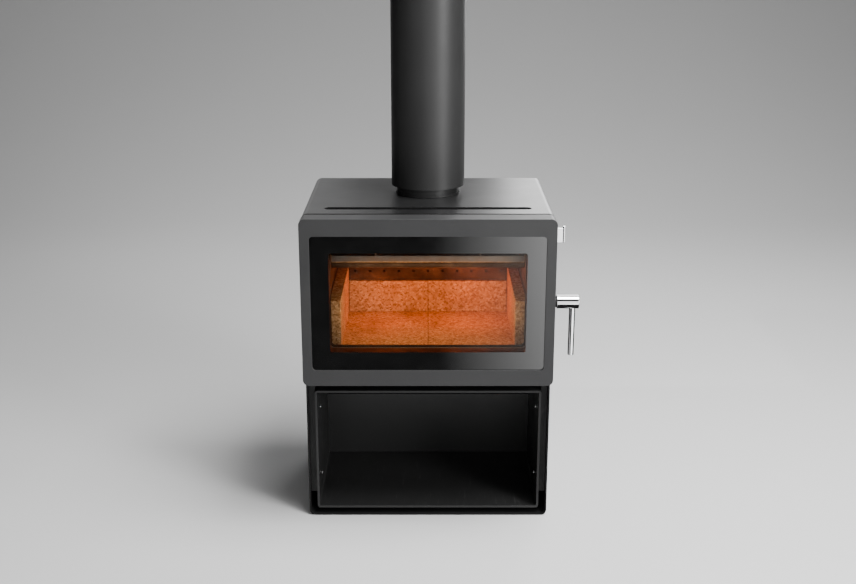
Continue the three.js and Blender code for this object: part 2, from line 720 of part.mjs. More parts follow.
// ---- Lining: bricks, air manifold, baffle ----
function buildLining() {
  const group = assembly();
  const inFront = fireboxFrontY + BRICK_GAP;
  const inBack = chamberBackY - BRICK_GAP;
  const half = chamberHalf - BRICK_GAP;
  const middleY = (inFront + inBack) / 2;
  const columns = [["left", -half, -BRICK_GAP / 2], ["right", BRICK_GAP / 2, half]];
  const rows = [["front", inFront, middleY - BRICK_GAP / 2], ["rear", middleY + BRICK_GAP / 2, inBack]];
  for (const [column, x0, x1] of columns) {
    for (const [row, y0, y1] of rows) {
      add(
        group,
        `floor_brick_${row}_${column}`,
        box(x0, y0, chamberBottom + FIT, x1, y1, brickFloor),
        firebrick,
      );
    }
  }

  const standing = brickFloor + FIT;
  const sideFront = inFront + SIDE_BRICK_SETBACK;
  const rearBrickY = inBack - BRICK;
  const rearBrickTop = standing + REAR_BRICK_HEIGHT;
  for (const [side, name] of [[-1, "left"], [1, "right"]]) {
    const outer = side * half;
    const inner = side * (half - BRICK);
    add(
      group,
      `side_brick_${name}`,
      box(
        Math.min(outer, inner),
        sideFront,
        standing,
        Math.max(outer, inner),
        inBack,
        standing + SIDE_BRICK_HEIGHT,
      ),
      firebrick,
    );
    const edge = side * (half - BRICK - BRICK_GAP);
    const seam = (side * BRICK_GAP) / 2;
    add(
      group,
      `rear_brick_${name}`,
      box(
        Math.min(edge, seam),
        rearBrickY,
        standing,
        Math.max(edge, seam),
        inBack,
        rearBrickTop,
      ),
      firebrick,
    );
  }

  // Rear air manifold: a shallow pan against the back wall, with a row of jets
  const panHalf = half - BRICK - BRICK_GAP;
  const panBottom = rearBrickTop + FIT;
  const panBack = chamberBackY - FIT;
  const jetPitch = (2 * (panHalf - MANIFOLD_HOLE_MARGIN)) / (MANIFOLD_HOLES - 1);
  const jets = [];
  for (let i = 0; i < MANIFOLD_HOLES; i++) {
    const x = (i - (MANIFOLD_HOLES - 1) / 2) * jetPitch;
    const jet = new THREE.CylinderGeometry(
      MANIFOLD_HOLE_R,
      MANIFOLD_HOLE_R,
      MANIFOLD_DEPTH,
      MANIFOLD_HOLE_SIDES,
    );
    jets.push(jet.translate(x, panBack - MANIFOLD_DEPTH, panBottom + MANIFOLD_HOLE_Z));
  }
  const pan = cut(
    box(-panHalf, panBack - MANIFOLD_DEPTH, panBottom, panHalf, panBack, manifoldTop),
    box(
      -panHalf + SHEET,
      panBack - MANIFOLD_DEPTH + SHEET,
      panBottom + SHEET,
      panHalf - SHEET,
      panBack + FIT,
      manifoldTop - SHEET,
    ),
    ...jets,
  );
  add(group, "rear_air_manifold", pan, sootedSteel);

  const tubeLength = 2 * (chamberHalf - FIT);
  for (const [name, setback] of Object.entries(TUBE_SETBACKS)) {
    const pipe = tube(TUBE_R - TUBE_WALL, TUBE_R, -tubeLength / 2, tubeLength / 2);
    const mesh = add(group, `air_tube_${name}`, pipe, sootedSteel);
    mesh.rotation.y = Math.PI / 2;
    mesh.position.set(0, fireboxFrontY + setback, manifoldTop - TUBE_R);
  }

  add(
    group,
    "baffle_board",
    box(
      -half,
      fireboxFrontY + BAFFLE_FRONT_GAP,
      manifoldTop + FIT,
      half,
      inBack,
      manifoldTop + FIT + BAFFLE_THICK,
    ),
    firebrick,
  );

  // Deflector that sends clean air down the glass, hung on two studs
  const deflectorY = fireboxFrontY + DEFLECTOR_SETBACK;
  const deflectorTop = fireboxTop - DEFLECTOR_DROP;
  const deflectorHalf = chamberHalf - DEFLECTOR_END_GAP;
  const section = polygon([
    [deflectorY, deflectorTop - DEFLECTOR_FACE],
    [deflectorY + SHEET, deflectorTop - DEFLECTOR_FACE],
    [deflectorY + SHEET, deflectorTop - SHEET],
    [deflectorY + DEFLECTOR_FLANGE, deflectorTop - SHEET],
    [deflectorY + DEFLECTOR_FLANGE, deflectorTop],
    [deflectorY, deflectorTop],
  ]);
  const studs = [-1, 1].map((side) =>
    cylinderZ(
      side * DEFLECTOR_STUD_X,
      deflectorY + DEFLECTOR_STUD_INSET,
      deflectorTop - SHEET / 2,
      chamberTop - FIT,
      DEFLECTOR_STUD_R,
      DEFLECTOR_STUD_SIDES,
    ),
  );
  const bar = slabX(section, -deflectorHalf, deflectorHalf);
  add(group, "airwash_deflector", join(bar, ...studs), bareSteel);
}

// ---- Air supply over the firebox, with its slide and knob ----
function buildAirControl() {
  const group = assembly();
  const ductBottom = fireboxTop + FIT;
  const ductTop = ductBottom + DUCT_HEIGHT;
  const half = fireboxHalf;
  const ductFront = fireboxFrontY;
  const ductBack = ductFront + DUCT_DEPTH;
  const duct = cut(
    box(-half, ductFront, ductBottom, half, ductBack, ductTop),
    box(
      -half + DUCT_WALL,
      ductFront + DUCT_WALL,
      ductBottom + DUCT_WALL,
      half + FIT,
      ductBack - DUCT_WALL,
      ductTop - DUCT_WALL,
    ),
    box(
      -airSlotHalf,
      airSlotY,
      ductBottom - FIT,
      airSlotHalf,
      airSlotY + AIR_SLOT_WIDTH,
      ductBottom + DUCT_WALL + FIT,
    ),
  );
  add(group, "airwash_duct", duct, sootedSteel);

  // Guide: a channel on the duct's open end that the slide plate runs in
  const guideX = half + FIT;
  const channelX = guideX + DUCT_WALL;
  const guideTop = ductTop + GUIDE_LIP;
  const guideBottom = ductBottom + FIT;
  const guideBack = ductBack + SLIDE_TRAVEL;
  const channelEnd = channelX + SLIDE_THICK + 2 * FIT;
  const guide = cut(
    box(guideX, ductFront, guideBottom, channelEnd + GUIDE_LIP, guideBack, guideTop),
    box(
      channelX,
      ductFront - FIT,
      guideBottom + GUIDE_LIP,
      channelEnd,
      guideBack + FIT,
      guideTop - GUIDE_LIP,
    ),
    box(
      channelX,
      ductFront - FIT,
      guideBottom + GUIDE_SLOT_INSET,
      channelEnd + 2 * GUIDE_LIP,
      guideBack + FIT,
      guideTop - GUIDE_SLOT_INSET,
    ),
    box(
      guideX - FIT,
      ductFront + GUIDE_PORT_INSET,
      guideBottom + GUIDE_PORT_INSET,
      channelX + FIT,
      ductBack - GUIDE_PORT_INSET,
      guideTop - GUIDE_PORT_INSET,
    ),
  );
  add(group, "air_slide_guide", guide, bareSteel);

  const moving = assembly();
  moving.position.set(0, stemY, stemZ);
  const plateX = channelX + FIT;
  add(
    moving,
    "air_slide_plate",
    box(
      plateX,
      -(stemY - ductFront) + FIT,
      guideBottom + GUIDE_LIP + FIT - stemZ,
      plateX + SLIDE_THICK,
      -(stemY - ductFront) + SLIDE_LENGTH,
      guideTop - GUIDE_LIP - FIT - stemZ,
    ),
    bareSteel,
  );
  const side = CASING_WIDTH / 2;
  const knobX = side + KNOB_GAP;
  const stemEnd = knobX + STEM_PAST_KNOB;
  const knobSlot = box(
    knobX - FIT,
    -KNOB_PLATE / 2 - FIT,
    -KNOB_HEIGHT,
    stemEnd + FIT,
    KNOB_PLATE / 2 + FIT,
    KNOB_HEIGHT,
  );
  const stem = cylinderX(plateX + SLIDE_THICK + FIT, stemEnd, 0, 0, STEM_R);
  add(moving, "air_control_stem", cut(stem, knobSlot), bareSteel);

  const knobBottom = -KNOB_DROP - KNOB_HEIGHT / 2;
  const grip = join(
    box(
      knobX,
      -KNOB_PLATE / 2,
      knobBottom,
      knobX + KNOB_WIDTH + KNOB_BAR_LAP,
      KNOB_PLATE / 2,
      knobBottom + KNOB_HEIGHT,
    ),
    cylinderZ(
      knobX + KNOB_WIDTH + KNOB_BAR_R - KNOB_BAR_LAP,
      0,
      knobBottom,
      knobBottom + KNOB_BAR_HEIGHT,
      KNOB_BAR_R,
      ROUND_SMALL,
    ),
  );
  add(moving, "air_control_knob", grip, chrome);
}

// ---- Flue ----
function buildFlue() {
  const group = assembly();
  group.position.set(0, FLUE_CENTRE, 0);
  const seat = fireboxTop + FIT;
  const collarTop = CASING_HEIGHT + COLLAR_LIFT;
  const casingBottom = CASING_HEIGHT + FLUE_CASING_LIFT;
  const collar = turned(
    [
      [COLLAR_LEDGE_R, seat],
      [COLLAR_FLANGE_R, seat],
      [COLLAR_FLANGE_R, seat + COLLAR_FLANGE_THICK],
      [COLLAR_R, seat + COLLAR_FLANGE_THICK],
      [COLLAR_R, collarTop],
      [COLLAR_BORE_R, collarTop],
      [COLLAR_BORE_R, seat + COLLAR_LEDGE_HEIGHT],
      [COLLAR_LEDGE_R, seat + COLLAR_LEDGE_HEIGHT],
    ],
    ROUND_LARGE,
  );
  add(group, "flue_collar", collar, blackPaint);
  const ringBottom = CASING_HEIGHT + FIT;
  add(
    group,
    "collar_trim_ring",
    tube(COLLAR_R + FIT, TRIM_RING_R, ringBottom, ringBottom + TRIM_RING_HEIGHT, ROUND_LARGE),
    blackPaint,
  );

  const casingTop = casingBottom + FLUE_CASING_LENGTH;
  const pipeBottom = seat + COLLAR_LEDGE_HEIGHT + FIT;
  add(
    group,
    "flue_pipe",
    tube(
      FLUE_PIPE_R - FLUE_PIPE_WALL,
      FLUE_PIPE_R,
      pipeBottom,
      casingTop + FLUE_PIPE_PROUD,
      ROUND_LARGE,
    ),
    bareSteel,
  );
  add(
    group,
    "flue_casing",
    tube(
      FLUE_CASING_R - FLUE_CASING_WALL,
      FLUE_CASING_R,
      casingBottom,
      casingTop,
      ROUND_LARGE,
    ),
    blackPaint,
  );

  // Spacers: a clip round the pipe with three tabs that centre the casing
  const sagitta = (FLUE_CASING_R - FLUE_CASING_WALL) * (1 - Math.cos(Math.PI / ROUND_LARGE));
  const tabEnd = FLUE_CASING_R - FLUE_CASING_WALL - sagitta - FIT - SPACER_TAB_SHORT;
  const band = FLUE_PIPE_R + FIT;
  for (const [name, z0] of [
    ["lower", collarTop + FIT],
    ["upper", casingTop - SPACER_DROP],
  ]) {
    const tabs = [0, 1, 2].map((i) =>
      box(band + SPACER_WALL / 2, -SPACER_TAB / 2, z0, tabEnd, SPACER_TAB / 2, z0 + SPACER_HEIGHT)
        .rotateZ((i * 2 * Math.PI) / 3 + Math.PI / 2),
    );
    const ring = tube(band, band + SPACER_WALL, z0, z0 + SPACER_HEIGHT, ROUND_LARGE);
    add(group, `flue_spacer_${name}`, join(ring, ...tabs), bareSteel);
  }
}

// ---- Door ----
function buildDoor() {
  const group = assembly();
  const backEdge = doorFrontY + DOOR_DEPTH;
  const bottom = doorBottom;
  const top = CASING_HEIGHT;

  const outer = rectangle(-doorHalf, bottom, doorHalf, top, DOOR_CORNER);
  const cavity = rectangle(
    -doorHalf + DOOR_WALL,
    bottom + DOOR_WALL,
    doorHalf - DOOR_WALL,
    top - DOOR_WALL,
    DOOR_CORNER - DOOR_WALL,
  );
  const opening = rectangle(-openingHalf, openingBottom, openingHalf, openingTop, OPENING_CORNER);
  const notches = Object.values(hingeHeights).map((z) =>
    box(
      -doorHalf - FIT,
      hingeY - HINGE_ARM_WIDTH,
      z - HINGE_ARM_THICK / 2 - HINGE_NOTCH_CLEAR,
      -doorHalf + DOOR_WALL + FIT,
      backEdge + FIT,
      z + HINGE_ARM_THICK / 2 + HINGE_NOTCH_CLEAR,
    ),
  );
  const frame = cut(
    slabY(outer, doorFrontY, backEdge),
    slabY(cavity, doorFrontY + DOOR_FACE, backEdge + FIT),
    slabY(opening, doorFrontY - FIT, doorFrontY + DOOR_FACE + FIT),
    cylinderX(doorHalf - 2 * DOOR_WALL, doorHalf + DOOR_WALL, spindleY, handleZ, SPINDLE_R + RUNNING),
    ...notches,
  );
  add(group, "door_frame", frame, doorPaint);

  const glass = rectangle(
    -openingHalf - GLASS_LAP,
    openingBottom - GLASS_LAP,
    openingHalf + GLASS_LAP,
    openingTop + GLASS_LAP,
    OPENING_CORNER,
  );
  add(group, "door_glass", slabY(glass, glassY, glassY + GLASS_THICK), ceramicGlass);

  // Rings behind the glass share one outline function: a band of a given width round the tunnel
  const ring = (inset, width, corner = OPENING_CORNER) => {
    const shape = rectangle(
      -tunnelHalf - inset - width,
      tunnelBottom - inset - width,
      tunnelHalf + inset + width,
      tunnelTop + inset + width,
      corner + inset + width,
    );
    shape.holes.push(
      rectangle(
        -tunnelHalf - inset,
        tunnelBottom - inset,
        tunnelHalf + inset,
        tunnelTop + inset,
        corner + inset,
        new THREE.Path(),
      ),
    );
    return shape;
  };
  add(
    group,
    "glass_gasket",
    slabY(ring(INNER_FRAME_WALL, GASKET_WIDTH), gasketY, gasketY + GASKET_THICK),
    gasketFibre,
  );

  // Inner frame: a flange behind the gasket that reaches the door's top and bottom walls,
  // a tunnel to the back, and a flange for the rope seal
  const ropeFlangeY = backEdge - 2 * INNER_FRAME_WALL;
  const flangeHalf = openingHalf + GLASS_LAP - FLANGE_SHORT;
  const flange = cut(
    slabY(
      rectangle(-flangeHalf, bottom + DOOR_WALL + FIT, flangeHalf, top - DOOR_WALL - FIT),
      innerFrameY,
      innerFrameY + INNER_FRAME_WALL,
    ),
    slabY(
      rectangle(-tunnelHalf, tunnelBottom, tunnelHalf, tunnelTop, OPENING_CORNER),
      innerFrameY - FIT,
      innerFrameY + INNER_FRAME_WALL + FIT,
    ),
  );
  const inner = join(
    flange,
    slabY(ring(0, INNER_FRAME_WALL), innerFrameY, ropeFlangeY + INNER_FRAME_WALL),
    slabY(ring(0, ROPE_FLANGE), ropeFlangeY, ropeFlangeY + INNER_FRAME_WALL),
  );
  add(group, "door_inner_frame", inner, sootedSteel);
  const ropeInset = (ROPE_FLANGE - ROPE_WIDTH) / 2;
  add(
    group,
    "door_rope_seal",
    slabY(ring(ropeInset, ROPE_WIDTH), ropeFlangeY + INNER_FRAME_WALL + FIT, faceY - FIT),
    gasketFibre,
  );

  // Lift-off hinges: an arm with an upright pin on the face plate, and a lug on the door above it
  const pinTop = HINGE_ARM_THICK / 2 + HINGE_LUG_THICK + HINGE_PIN_PROUD;
  for (const [name, z] of Object.entries(hingeHeights)) {
    const armTop = z + HINGE_ARM_THICK / 2;
    const eye = cylinderZ(hingeX, hingeY, z - HINGE_ARM_THICK / 2, armTop, HINGE_ARM_WIDTH / 2);
    const arm = box(
      hingeX - HINGE_ARM_WIDTH / 2,
      hingeY,
      z - HINGE_ARM_THICK / 2,
      hingeX + HINGE_ARM_WIDTH / 2,
      faceY - HINGE_PLATE_THICK,
      armTop,
    );
    const foot = box(
      hingeX - HINGE_ARM_WIDTH / 2,
      faceY - FIT - HINGE_PLATE_THICK,
      z - HINGE_PLATE_HEIGHT / 2,
      hingeX - HINGE_ARM_WIDTH / 2 + HINGE_PLATE_WIDTH,
      faceY - FIT,
      z + HINGE_PLATE_HEIGHT / 2,
    );
    const bore = cylinderZ(
      hingeX,
      hingeY,
      z - pinTop,
      z + pinTop,
      HINGE_PIN_R + FIT / 2,
      ROUND_SMALL,
    );
    add(part, `hinge_bracket_${name}`, cut(join(eye, arm, foot), bore), sootedSteel);
    add(
      part,
      `hinge_pin_${name}`,
      cylinderZ(hingeX, hingeY, z - HINGE_ARM_THICK / 2, z + pinTop, HINGE_PIN_R, ROUND_SMALL),
      bareSteel,
    );

    const lug = polygon([
      [-doorHalf + DOOR_WALL + FIT, doorFrontY + DOOR_FACE + FIT],
      [hingeX + 2 * HINGE_EYE_R, doorFrontY + DOOR_FACE + FIT],
      [hingeX + HINGE_EYE_R, hingeY],
      [-doorHalf + DOOR_WALL + FIT, hingeY],
    ]);
    const lugBottom = armTop + HINGE_LUG_GAP;
    const glassEdge = box(
      -openingHalf - GLASS_LAP - FIT,
      doorFrontY,
      z - pinTop,
      0,
      ropeFlangeY,
      z + 2 * pinTop,
    );
    const lugSolid = cut(
      join(
        slabZ(lug, lugBottom, lugBottom + HINGE_LUG_THICK),
        cylinderZ(hingeX, hingeY, lugBottom, lugBottom + HINGE_LUG_THICK, HINGE_EYE_R - FIT),
      ),
      cylinderZ(hingeX, hingeY, z - pinTop, z + 2 * pinTop, HINGE_PIN_R + RUNNING),
      glassEdge,
    );
    add(group, `hinge_lug_${name}`, lugSolid, doorPaint);
  }

  // Black bush between the door's side and the handle
  const bush = tube(SPINDLE_R + RUNNING, BUSH_R, 0, BUSH_LENGTH);
  const bushMesh = add(group, "handle_bush", bush, blackPaint);
  bushMesh.rotation.y = Math.PI / 2;
  bushMesh.position.set(doorHalf + FIT, spindleY, handleZ);
}

// ---- Handle: hub, rod and latch spindle, which turn together ----
function buildHandle() {
  const group = assembly();
  group.position.set(0, spindleY, handleZ);
  const hubX = doorHalf + FIT + BUSH_LENGTH + FIT;
  const hubEnd = hubX + HUB_LENGTH;
  const rodX = hubEnd - ROD_FROM_END;
  const hub = cut(
    cylinderX(hubX, hubEnd, 0, 0, HUB_R, ROUND_HUB),
    cylinderX(hubX - FIT, hubX + HUB_BORE_DEPTH, 0, 0, SPINDLE_R + FIT),
    cylinderZ(rodX, 0, -HUB_R - FIT, -HUB_R + ROD_SOCKET, ROD_R + FIT),
  );
  add(group, "handle_hub", hub, chrome);
  add(
    group,
    "handle_rod",
    cylinderZ(rodX, 0, -ROD_REACH, -HUB_R + ROD_SOCKET - FIT, ROD_R),
    chrome,
  );

  const nose = polygon([
    [0, -CAM_HALF_HEIGHT],
    [CAM_REACH - CAM_BEVEL_LENGTH, -CAM_HALF_HEIGHT],
    [CAM_REACH, -CAM_HALF_HEIGHT + CAM_BEVEL_HEIGHT],
    [CAM_REACH, CAM_HALF_HEIGHT],
    [0, CAM_HALF_HEIGHT],
  ]);
  const spindle = join(
    cylinderX(camX, hubX + HUB_BORE_DEPTH - FIT, 0, 0, SPINDLE_R),
    cylinderX(camX, camX + CAM_THICK, 0, 0, CAM_DISC_R),
    slabX(nose, camX, camX + CAM_THICK),
  );
  add(group, "latch_spindle", spindle, bareSteel);
}

buildCasing();
buildLogStore();
buildFirebox();
buildLining();
buildAirControl();
buildFlue();
buildDoor();
buildHandle();

export default part;
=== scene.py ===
# %% [markdown]
# # A wood burning stove, finished piece by piece
#
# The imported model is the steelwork: every plate, brick, pin and tube is already at its true
# size and place. This lesson gives each one the surface that a stove maker would, and adds the
# small pieces that carry the look: the printed border on the glass, screw heads, nuts and the
# handle's turned shapes. Everything is in metres, +Z is up, and the door faces -Y.

# %% Load the frame
import json
import math
import bmesh
import bpy
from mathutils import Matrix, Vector


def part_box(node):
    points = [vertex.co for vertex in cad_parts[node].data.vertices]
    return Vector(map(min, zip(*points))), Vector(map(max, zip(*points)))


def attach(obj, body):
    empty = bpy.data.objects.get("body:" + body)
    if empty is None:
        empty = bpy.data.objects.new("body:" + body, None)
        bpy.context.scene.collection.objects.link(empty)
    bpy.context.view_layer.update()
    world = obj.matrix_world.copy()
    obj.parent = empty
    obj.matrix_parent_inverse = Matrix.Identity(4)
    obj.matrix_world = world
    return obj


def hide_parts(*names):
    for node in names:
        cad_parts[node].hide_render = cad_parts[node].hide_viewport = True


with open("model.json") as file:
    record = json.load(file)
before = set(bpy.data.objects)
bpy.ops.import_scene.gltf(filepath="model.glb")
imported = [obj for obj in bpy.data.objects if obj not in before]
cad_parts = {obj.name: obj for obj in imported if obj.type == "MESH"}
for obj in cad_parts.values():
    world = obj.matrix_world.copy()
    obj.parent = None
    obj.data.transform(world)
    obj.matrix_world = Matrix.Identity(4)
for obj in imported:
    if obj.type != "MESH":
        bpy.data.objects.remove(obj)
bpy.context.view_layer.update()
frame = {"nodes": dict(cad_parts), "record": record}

# %% [markdown]
# ## Places to work from
#
# A fitter measures from the steelwork and never from memory. Each place below is read off a
# piece of the frame, so a new piece lands where the metal is.

# %% Measure the frame
MM = 0.001
casing_low, casing_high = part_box("casing_wrap")
door_low, door_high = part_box("door_frame")
glass_low, glass_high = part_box("door_glass")
gasket_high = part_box("glass_gasket")[1]
print("casing", round(casing_high.x - casing_low.x, 3), "wide,", round(casing_high.z, 3), "high")
print("glass", round(glass_high.x - glass_low.x, 3), "x", round(glass_high.z - glass_low.z, 3))


# %% [markdown]
# ## Bench habits
#
# An operator acts on everything that is selected. So each job starts by clearing the
# selection and picking up one piece, as a maker clears the bench before the next part.

# %% Picking a piece up
Z_UP = Vector((0, 0, 1))


def put_everything_down():
    if bpy.context.mode != "OBJECT":
        bpy.ops.object.mode_set(mode="OBJECT")
    bpy.ops.object.select_all(action="DESELECT")


def pick_up(piece):
    put_everything_down()
    piece.select_set(True)
    bpy.context.view_layer.objects.active = piece
    return piece


def new_piece(name):
    piece = bpy.context.active_object
    piece.name = name
    piece.data.name = name
    return piece


# %% Picking faces and edges by where they are
def pick_faces(piece, wanted):
    """In edit mode, select only the faces for which wanted(centre, normal) is true."""
    bpy.ops.mesh.select_mode(type="FACE")
    bpy.ops.mesh.select_all(action="DESELECT")
    mesh = bmesh.from_edit_mesh(piece.data)
    count = 0
    for face in mesh.faces:
        if wanted(face.calc_center_median(), face.normal):
            face.select_set(True)
            count += 1
    bmesh.update_edit_mesh(piece.data)
    return count


def settle(piece):
    """Leave edit mode and put the place into the mesh, so the object sits at the origin."""
    pick_up(piece)
    bpy.ops.object.transform_apply(location=True, rotation=True, scale=True)
    return piece


# %% [markdown]
# ## Breaking the edges
#
# No plate leaves a workshop with knife edges: they are filed or rolled, and that narrow
# rounded edge is what catches the light. Modelling it by hand on each plate would work, but a
# bevel on a copy gives every edge the same honest radius. The copy's loose triangles are first
# merged and dissolved into whole faces, because a bevel follows the edges that it finds.

# %% Smooth shading that keeps flat faces flat
SOFT_BELOW = 35
SOFT_BELOW_ON_SMALL = 30


def smooth(piece, degrees=SOFT_BELOW):
    """Shade by angle, then weigh each corner's direction by the size of the faces round it."""
    pick_up(piece)
    bpy.ops.object.shade_smooth_by_angle(angle=math.radians(degrees))
    even = piece.modifiers.new("even", "WEIGHTED_NORMAL")
    even.keep_sharp = True
    bpy.ops.object.modifier_apply(modifier=even.name)
    return piece


# %% A copy with broken edges
SAME_POINT = 0.00001
SAME_FACE = 0.5
SHARP_ABOVE = 40


def ease(piece, width, segments, angle=SHARP_ABOVE):
    """Bevel every edge that is sharper than the angle."""
    edge = piece.modifiers.new("edge", "BEVEL")
    edge.width = width
    edge.segments = segments
    edge.limit_method = "ANGLE"
    edge.angle_limit = math.radians(angle)
    bpy.ops.object.modifier_apply(modifier=edge.name)


def broken_edges(node, width, segments=2):
    source = frame["nodes"][node]
    pick_up(source)
    bpy.ops.object.duplicate()
    piece = new_piece(node + "_finished")
    bpy.ops.object.mode_set(mode="EDIT")
    bpy.ops.mesh.select_all(action="SELECT")
    bpy.ops.mesh.remove_doubles(threshold=SAME_POINT)
    bpy.ops.mesh.dissolve_limited(angle_limit=math.radians(SAME_FACE))
    bpy.ops.object.mode_set(mode="OBJECT")
    ease(piece, width, segments)
    smooth(piece)
    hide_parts(node)
    return piece


# %% [markdown]
# ## Recipes for surfaces
#
# Paint, soot, brick and polished steel all start the same way: a shader, a pattern that is
# read from the piece's own place in metres, and a ramp that turns the pattern into colour,
# roughness or height. These helpers keep each recipe to a few readable lines.

# %% Small helpers for node recipes
class Recipe:
    def __init__(self, name):
        self.material = bpy.data.materials.new(name)
        self.material.use_nodes = True
        self.nodes = self.material.node_tree.nodes
        self.links = self.material.node_tree.links
        self.shader = self.nodes["Principled BSDF"]
        self.place = self.nodes.new("ShaderNodeTexCoord").outputs["Object"]

    def join(self, source, target):
        self.links.new(source, target)

    def stretched(self, scale):
        mapping = self.nodes.new("ShaderNodeMapping")
        mapping.inputs["Scale"].default_value = scale
        self.join(self.place, mapping.inputs["Vector"])
        return mapping.outputs["Vector"]

    def noise(self, scale, detail=3.0, rough=0.5, along=None):
        node = self.nodes.new("ShaderNodeTexNoise")
        node.inputs["Scale"].default_value = scale
        node.inputs["Detail"].default_value = detail
        node.inputs["Roughness"].default_value = rough
        self.join(along or self.place, node.inputs["Vector"])
        return node.outputs["Fac"]

    def cells(self, scale, feature="F1", along=None):
        node = self.nodes.new("ShaderNodeTexVoronoi")
        node.feature = feature
        node.inputs["Scale"].default_value = scale
        self.join(along or self.place, node.inputs["Vector"])
        return node

    def height(self, axis="Z"):
        split = self.nodes.new("ShaderNodeSeparateXYZ")
        self.join(self.place, split.inputs["Vector"])
        return split.outputs[axis]

    def spread(self, source, low, high, to_low=0.0, to_high=1.0):
        node = self.nodes.new("ShaderNodeMapRange")
        node.inputs["From Min"].default_value = low
        node.inputs["From Max"].default_value = high
        node.inputs["To Min"].default_value = to_low
        node.inputs["To Max"].default_value = to_high
        self.join(source, node.inputs["Value"])
        return node.outputs["Result"]

    def sum(self, first, second, operation="ADD"):
        node = self.nodes.new("ShaderNodeMath")
        node.operation = operation
        for source, target in ((first, node.inputs[0]), (second, node.inputs[1])):
            if isinstance(source, (int, float)):
                target.default_value = source
            else:
                self.join(source, target)
        return node.outputs["Value"]

    def ramp(self, source, *stops):
        node = self.nodes.new("ShaderNodeValToRGB")
        ramp = node.color_ramp
        while len(ramp.elements) < len(stops):
            ramp.elements.new(0.5)
        for element, (at, colour) in zip(ramp.elements, stops):
            element.position = at
            element.color = (*colour, 1.0)
        self.join(source, node.inputs["Fac"])
        return node.outputs["Color"]

    def mix(self, amount, first, second, blend="MIX"):
        node = self.nodes.new("ShaderNodeMix")
        node.data_type = "RGBA"
        node.blend_type = blend
        if isinstance(amount, (int, float)):
            node.inputs[0].default_value = amount
        else:
            self.join(amount, node.inputs[0])
        for source, target in ((first, node.inputs[6]), (second, node.inputs[7])):
            if isinstance(source, tuple):
                target.default_value = (*source, 1.0)
            else:
                self.join(source, target)
        return node.outputs[2]

    def bump(self, source, distance, strength=1.0, under=None):
        node = self.nodes.new("ShaderNodeBump")
        node.inputs["Distance"].default_value = distance
        node.inputs["Strength"].default_value = strength
        self.join(source, node.inputs["Height"])
        if under is not None:
            self.join(under, node.inputs["Normal"])
        self.join(node.outputs["Normal"], self.shader.inputs["Normal"])
        return node.outputs["Normal"]

    def colour(self, source):
        self.join(source, self.shader.inputs["Base Color"])

    def roughness(self, source):
        self.join(source, self.shader.inputs["Roughness"])

    def fixed(self, **values):
        for name, value in values.items():
            self.shader.inputs[name.replace("_", " ")].default_value = value


# %% [markdown]
# ### Stove paint
#
# High-temperature paint is sprayed on blasted steel and baked. It is matte to satin, with a
# fine tooth like sandpaper, faint drifts where the spray overlapped, and a little pale dust.
# One recipe with a few settings makes the door, casing, flue and inner sheets, because on the
# real stove they are the same paint laid on differently.

# %% Stove paint
def stove_paint(name, dark, light, smooth, rough, tooth=0.00006, dust=0.0, shine=0.35):
    paint = Recipe(name)
    paint.fixed(Specular_IOR_Level=shine)
    drift = paint.noise(3.0, 3.0, 0.55)
    grit = paint.noise(900.0, 2.0, 0.6)
    base = paint.ramp(drift, (0.3, dark), (0.7, light))
    speck = paint.ramp(grit, (0.35, (0.82, 0.82, 0.82)), (0.7, (1.12, 1.12, 1.12)))
    toned = paint.mix(1.0, base, speck, "MULTIPLY")
    dusty = paint.spread(paint.noise(38.0, 4.0, 0.7), 0.52, 0.8, 0.0, dust)
    paint.colour(paint.mix(dusty, toned, (0.28, 0.27, 0.255)))
    smear = paint.noise(14.0, 2.0, 0.5)
    paint.roughness(paint.spread(smear, 0.15, 0.85, smooth, rough))
    fine = paint.bump(grit, tooth, 0.55)
    paint.bump(paint.noise(160.0, 2.0, 0.5), tooth * 2.2, 0.35, under=fine)
    return paint


door_paint = stove_paint("satin_door_paint", (0.024, 0.024, 0.025), (0.031, 0.031, 0.031), 0.42, 0.52)
casing_paint = stove_paint(
    "satin_casing_paint", (0.009, 0.009, 0.0095), (0.014, 0.014, 0.014), 0.29, 0.33, dust=0.015
)
flue_paint = stove_paint(
    "matte_flue_paint", (0.013, 0.013, 0.013), (0.019, 0.019, 0.019), 0.42, 0.50, 0.00005
)
inner_paint = stove_paint(
    "inner_sheet_paint", (0.006, 0.006, 0.006), (0.011, 0.0105, 0.010), 0.45, 0.6, dust=0.08
)
print("paints:", door_paint.material.name, casing_paint.material.name, flue_paint.material.name)

# %% [markdown]
# ### Painted shade on the casing's cut edges
#
# The casing's front rim and the walls of its top slot are painted nearly black and rough. This is
# painted shade for the dark gaps at the casing's front and the shadow inside the slot. Both are
# picked out by their place.

# %% Paint shade on the cut edges
SLOT_FRONT = casing_low.y + 49 * MM
SLOT_BACK = casing_low.y + 75 * MM
SLOT_HALF = 262 * MM
SLOT_MARGIN = 5 * MM


